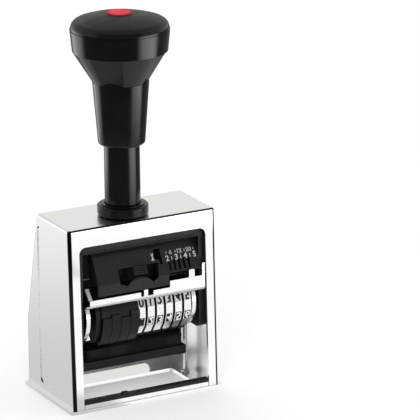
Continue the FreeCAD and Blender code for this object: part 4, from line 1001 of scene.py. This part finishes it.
def felt_point(point, half):
    """Where a point of the plain box lies on the felt."""
    inner = Vector([max(-h + PAD_ROUND, min(h - PAD_ROUND, v)) for v, h in zip(point, half)])
    off = point - inner
    round_point = inner + off.normalized() * PAD_ROUND if off.length > 0 else point.copy()
    level = round_point.z / half.z
    pull = PAD_WAIST * max(0.0, 1 - level * level)
    for axis in range(2):
        share = round_point[axis] / half[axis]
        round_point[axis] -= pull * share ** 3
    if level > 0:
        swell = (1 - (point.x / half.x) ** 4) * (1 - (point.y / half.y) ** 4)
        round_point.z += level * (PAD_CROWN * swell - PAD_CROWN)
        round_point.z += level * swell * PAD_LUMP * noise.noise(point * 260)
    return round_point


def make_felt():
    """The felt pad in the place of its CAD solid."""
    low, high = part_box("ink_pad")
    size, middle = high - low, (low + high) / 2
    box = divided_box(size)
    for vertex in box.verts:
        vertex.co = felt_point(vertex.co.copy(), size / 2) + middle
    felt = as_piece("felt_pad", box, finishes["ink_felt"])
    felt.data.polygons.foreach_set("use_smooth", [True] * len(felt.data.polygons))
    return felt


felt = make_felt()
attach(felt, "pad")
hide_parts("ink_pad")
print("felt faces:", len(felt.data.polygons))

# %% [markdown]
# The wheel cover is closed at its left end by a thin plate, so that one can't look in beside the wheels.
# Its outline is part of a ring about the wheels' axle, drawn as points along two arcs.

# %% Cover end
END_LEFT = -22.8 * MM
END_THICK = 3.2 * MM
END_ROUND = 0.15 * MM
END_INNER = 5.2 * MM
END_OUTER = 14.8 * MM
END_ANGLES = (122, 229)
END_STEP = 4


def arc_points(radius, degrees):
    """Points about the axle at the plate's left face."""
    turned = [math.radians(value) for value in degrees]
    return [WHEEL_AXLE + Vector((END_LEFT, radius * math.cos(t), radius * math.sin(t))) for t in turned]


def cover_end():
    """The plate between the two arcs, with its rim rounded."""
    degrees = list(range(*END_ANGLES, END_STEP)) + [END_ANGLES[1]]
    outline = arc_points(END_OUTER, degrees) + arc_points(END_INNER, reversed(degrees))
    plate = bmesh.new()
    face = plate.faces.new([plate.verts.new(point) for point in outline])
    grown = bmesh.ops.extrude_face_region(plate, geom=[face])
    moved = [item for item in grown["geom"] if isinstance(item, bmesh.types.BMVert)]
    bmesh.ops.translate(plate, verts=moved, vec=(END_THICK, 0, 0))
    bmesh.ops.recalc_face_normals(plate, faces=plate.faces[:])
    rims = [e for e in plate.edges if abs(e.verts[0].co.x - e.verts[1].co.x) < END_THICK / 2]
    bmesh.ops.bevel(plate, geom=rims, offset=END_ROUND, segments=2, affect="EDGES")
    return as_piece("cover_end", plate, duller_enamel)


end_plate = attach(cover_end(), "head")
print("cover end faces:", len(end_plate.data.polygons))

# %% [markdown]
# The front bar of the sole gets a black strip over its top and the upper half of its front, with a small
# block on it that marks the line where the print will stand. Both are soft-edged little blocks, so one
# helper makes a box with rounded edges between two corners.

# %% Front trim
TRIM_LOW = Vector((-30.0, -20.2, 3.3)) * MM
TRIM_HIGH = Vector((30.0, -17.2, 5.2)) * MM
SIGHT_LOW = Vector((-12.1, -20.2, 4.6)) * MM
SIGHT_HIGH = Vector((-9.1, -18.4, 6.2)) * MM
TRIM_EDGE = 0.22 * MM


def rounded_block(name, low, high, edge, material):
    """A box between two corners, its edges rounded to that radius."""
    box = bmesh.new()
    bmesh.ops.create_cube(box, size=1.0)
    size, middle = high - low, (low + high) / 2
    for vertex in box.verts:
        vertex.co = Vector([vertex.co[axis] * size[axis] for axis in range(3)]) + middle
    bmesh.ops.bevel(box, geom=box.edges[:], offset=edge, segments=3, affect="EDGES")
    return as_piece(name, box, material)


strip_finish = moulded(
    "black_strip_satin", grey(0.008), rough=(0.45, 0.6), grain=2600.0, depth=0.01 * MM, shine=0.35,
)
trim = rounded_block("bar_trim", TRIM_LOW, TRIM_HIGH, TRIM_EDGE, strip_finish)
sight = rounded_block("bar_sight", SIGHT_LOW, SIGHT_HIGH, TRIM_EDGE, strip_finish)
for piece in (trim, sight):
    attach(piece, "root")
print("front trim:", [round(v / MM, 1) for v in TRIM_HIGH - TRIM_LOW], "mm")

# %% [markdown]
# Floor and surroundings. The machine stands on a white sweep that meets a white background. Chrome and gloss
# show what stands around them, so the floor has a second pattern that only mirror rays see: white near the
# machine, a white card in front and a greyer one at its left, dark further out, and two pale strips for the
# handle's highlights. The floor itself stays plain white. A card or strip is the middle of its directions,
# half its width and the width of its soft sides, all in degrees. A distance is in metres.

# %% Mirrored cards
NEAR_END = 0.22
CARD_END = 0.4
END_SOFT = 0.05
FAR_LEVEL = 0.22
NEAR_LEVEL = 1.06
ORIGIN = (0.0, 0.0, 0.0)
NEAR_CORNER = (-0.035, -0.02, 0.0)
FRONT_CARD = (-63.5, 8.0, 4.0)
SIDE_CARD = (112.0, 16.0, 8.0)
SIDE_REACH = (0.04, 0.33)
SIDE_LEVELS = (0.6, 0.9)
SHADE = (-148.0, 22.0, 22.0)
SHADE_REACH = (0.15, 0.04)
SHADE_DEPTH = 0.4
RIGHT_STRIP = (-47.0, 4.0, 28.0)
RIGHT_REACH = (0.3, 0.36)
RIGHT_LEVELS = (1.0, 6.2)
LEFT_STRIP = (122.0, 8.0, 26.0)
LEFT_REACH = (0.3, 0.34)
LEFT_LEVELS = (0.0, 2.6)


def sector(tree, place, start, card):
    """A mask of the directions from a start point within half an angle of a middle, with soft sides."""
    middle, half, soft = (math.radians(value) for value in card)
    away = offset(tree, place, start)
    direction = put(tree, "VectorMath", {0: away}, operation="NORMALIZE").outputs[0]
    ahead = (math.cos(middle), math.sin(middle), 0.0)
    return spread(tree, same_way(tree, direction, ahead), math.cos(half + soft), math.cos(half))


def near_cards(tree, place, distance):
    """How bright a mirror sees the floor near the machine: white paper, longer in front and greyer beside."""
    near = spread(tree, distance, NEAR_END + END_SOFT, NEAR_END, FAR_LEVEL, NEAR_LEVEL)
    reach = spread(tree, distance, CARD_END + END_SOFT, CARD_END, 0.0, NEAR_LEVEL)
    white = larger(tree, near, product(tree, sector(tree, place, ORIGIN, FRONT_CARD), reach))
    shade = product(tree, sector(tree, place, ORIGIN, SHADE), spread(tree, distance, *SHADE_REACH))
    kept = sum_up(tree, "SUBTRACT", 1.0, product(tree, shade, SHADE_DEPTH))
    side = product(tree, spread(tree, distance, *SIDE_REACH, *SIDE_LEVELS), reach)
    beside = sector(tree, place, NEAR_CORNER, SIDE_CARD)
    return put(tree, "Mix", {0: beside, 2: product(tree, white, kept), 3: side}).outputs[0]


def far_strip(tree, place, distance, strip, reach, levels):
    """One of the pale strips, which grows brighter from the near to the far end of its reach."""
    return product(tree, sector(tree, place, ORIGIN, strip), spread(tree, distance, *reach, *levels))


def mirrored_floor(tree):
    """The whole pattern that mirrors see: the cards and the two far strips."""
    place = object_place(tree)
    distance = put(tree, "VectorMath", {0: place}, operation="LENGTH").outputs["Value"]
    right = far_strip(tree, place, distance, RIGHT_STRIP, RIGHT_REACH, RIGHT_LEVELS)
    left = far_strip(tree, place, distance, LEFT_STRIP, LEFT_REACH, LEFT_LEVELS)
    return larger(tree, near_cards(tree, place, distance), larger(tree, right, left))


print("mirrored cards reach", CARD_END, "m")

# %% [markdown]
# The pattern glows for mirror rays only. For the camera the same floor is white paper, lit by the lamps and
# lifted a little, so that it meets the white background and still keeps the machine's shadow.

# %% Floor
FLOOR_HALF = 3.0
FLOOR_LIFT = 0.32
PAPER = grey(0.86)


def floor_finish():
    """White paper for the camera, and the studio's cards and strips for mirrors."""
    material, tree, shader = new_finish("white_sweep")
    tree.nodes.remove(shader)
    paths = put(tree, "LightPath").outputs
    seen = sum_up(tree, "ADD", paths["Is Camera Ray"], paths["Is Transmission Ray"], clamp=True)
    paper = mix_colour(tree, paths["Is Glossy Ray"], PAPER, grey(0.0))
    lit = put(tree, "BsdfDiffuse", {"Color": paper})
    glow = product(tree, mirrored_floor(tree), paths["Is Glossy Ray"])
    glow = sum_up(tree, "ADD", glow, product(tree, seen, FLOOR_LIFT))
    lift = put(tree, "Emission", {"Color": grey(1.0), "Strength": glow})
    both = put(tree, "AddShader", {0: lit.outputs[0], 1: lift.outputs[0]})
    tree.links.new(both.outputs[0], tree.nodes["Material Output"].inputs["Surface"])
    return material


def make_floor():
    """A large flat floor under the sole."""
    corners = [Vector((x, y, 0)) * FLOOR_HALF for x, y in ((-1, -1), (1, -1), (1, 1), (-1, 1))]
    mesh = bpy.data.meshes.new("floor")
    mesh.from_pydata(corners, [], [(0, 1, 2, 3)])
    mesh.materials.append(floor_finish())
    floor = bpy.data.objects.new("floor", mesh)
    bpy.context.scene.collection.objects.link(floor)
    return floor


floor = make_floor()
print("floor:", [round(side, 2) for side in floor.dimensions], "m")

# %% [markdown]
# The world is plain white for the camera. The machine's mirror surfaces see a sky that is white at the
# horizon, a warm light grey a little higher, where the top of the housing looks, and a middle grey overhead,
# with a darker part behind the photographer. Matt surfaces see an even grey that lights them softly.

# %% World
AMBIENT = 0.55
DARK_SIDE = (-118.4, 48.0, 12.0)
DARK_GREY = grey(0.3)
SKY_STOPS = (
    (0.0, (1.0, 1.0, 1.0)),
    (0.12, (0.97, 0.96, 0.94)),
    (0.32, (0.86, 0.85, 0.82)),
    (0.5, (0.66, 0.65, 0.63)),
    (0.75, (0.42, 0.415, 0.405)),
    (1.0, (0.36, 0.36, 0.355)),
)


def sky_colour(tree, direction):
    """The graded sky, dark behind the camera."""
    ramp = put(tree, "ValToRGB", {"Fac": axes(tree, direction)["Z"]})
    stops = ramp.color_ramp.elements
    while len(stops) < len(SKY_STOPS):
        stops.new(0.5)
    for stop, (position, colour) in zip(stops, SKY_STOPS):
        stop.position = position
        stop.color = (*colour, 1)
    level = put(tree, "VectorMath", {0: direction, 1: (1.0, 1.0, 0.0)}, operation="MULTIPLY").outputs[0]
    behind = sector(tree, level, ORIGIN, DARK_SIDE)
    return mix_colour(tree, behind, ramp.outputs["Color"], DARK_GREY)


def make_world():
    """A white background with a graded sky for mirrors."""
    world = bpy.data.worlds.new("studio")
    world.use_nodes = True
    tree = world.node_tree
    sky = sky_colour(tree, put(tree, "TexCoord").outputs["Generated"])
    paths = put(tree, "LightPath").outputs
    seen = sum_up(tree, "ADD", paths["Is Camera Ray"], paths["Is Transmission Ray"], clamp=True)
    mirrored = mix_colour(tree, paths["Is Glossy Ray"], grey(AMBIENT), sky)
    shown = mix_colour(tree, seen, mirrored, grey(1.0))
    tree.links.new(shown, tree.nodes["Background"].inputs["Color"])
    bpy.context.scene.world = world


make_world()
print("world ready")

# %% [markdown]
# Three large soft lamps light the matt and satin surfaces: a key from the front left, a weaker fill from
# the right and one from behind. They are hidden from mirror rays, because the floor's strips already stand
# for the lamps there and a second set of highlights would clutter the chrome. A lamp has its place in metres,
# the side of its square in metres, and its power in watts.

# %% Lamps
LAMP_AIM = Vector((0, 0, 0.08))
LAMPS = {
    "key": ((-0.55, -0.85, 0.95), 0.6, 4.0),
    "fill": ((0.95, -0.45, 0.6), 0.8, 2.0),
    "rear": ((0.2, 0.95, 0.9), 0.8, 2.4),
}


def make_lamp(name, place, size, power):
    """A square soft lamp turned to the machine."""
    lamp = bpy.data.objects.new(name, bpy.data.lights.new(name, "AREA"))
    lamp.data.size = size
    lamp.data.energy = power
    lamp.location = place
    lamp.rotation_euler = (LAMP_AIM - Vector(place)).to_track_quat("-Z", "Y").to_euler()
    lamp.visible_glossy = False
    bpy.context.scene.collection.objects.link(lamp)


for name, (place, size, power) in LAMPS.items():
    make_lamp(name, place, size, power)
bpy.context.scene.view_settings.view_transform = "Standard"
print("lamps:", list(LAMPS))

# %% Finish
print("scene ready")
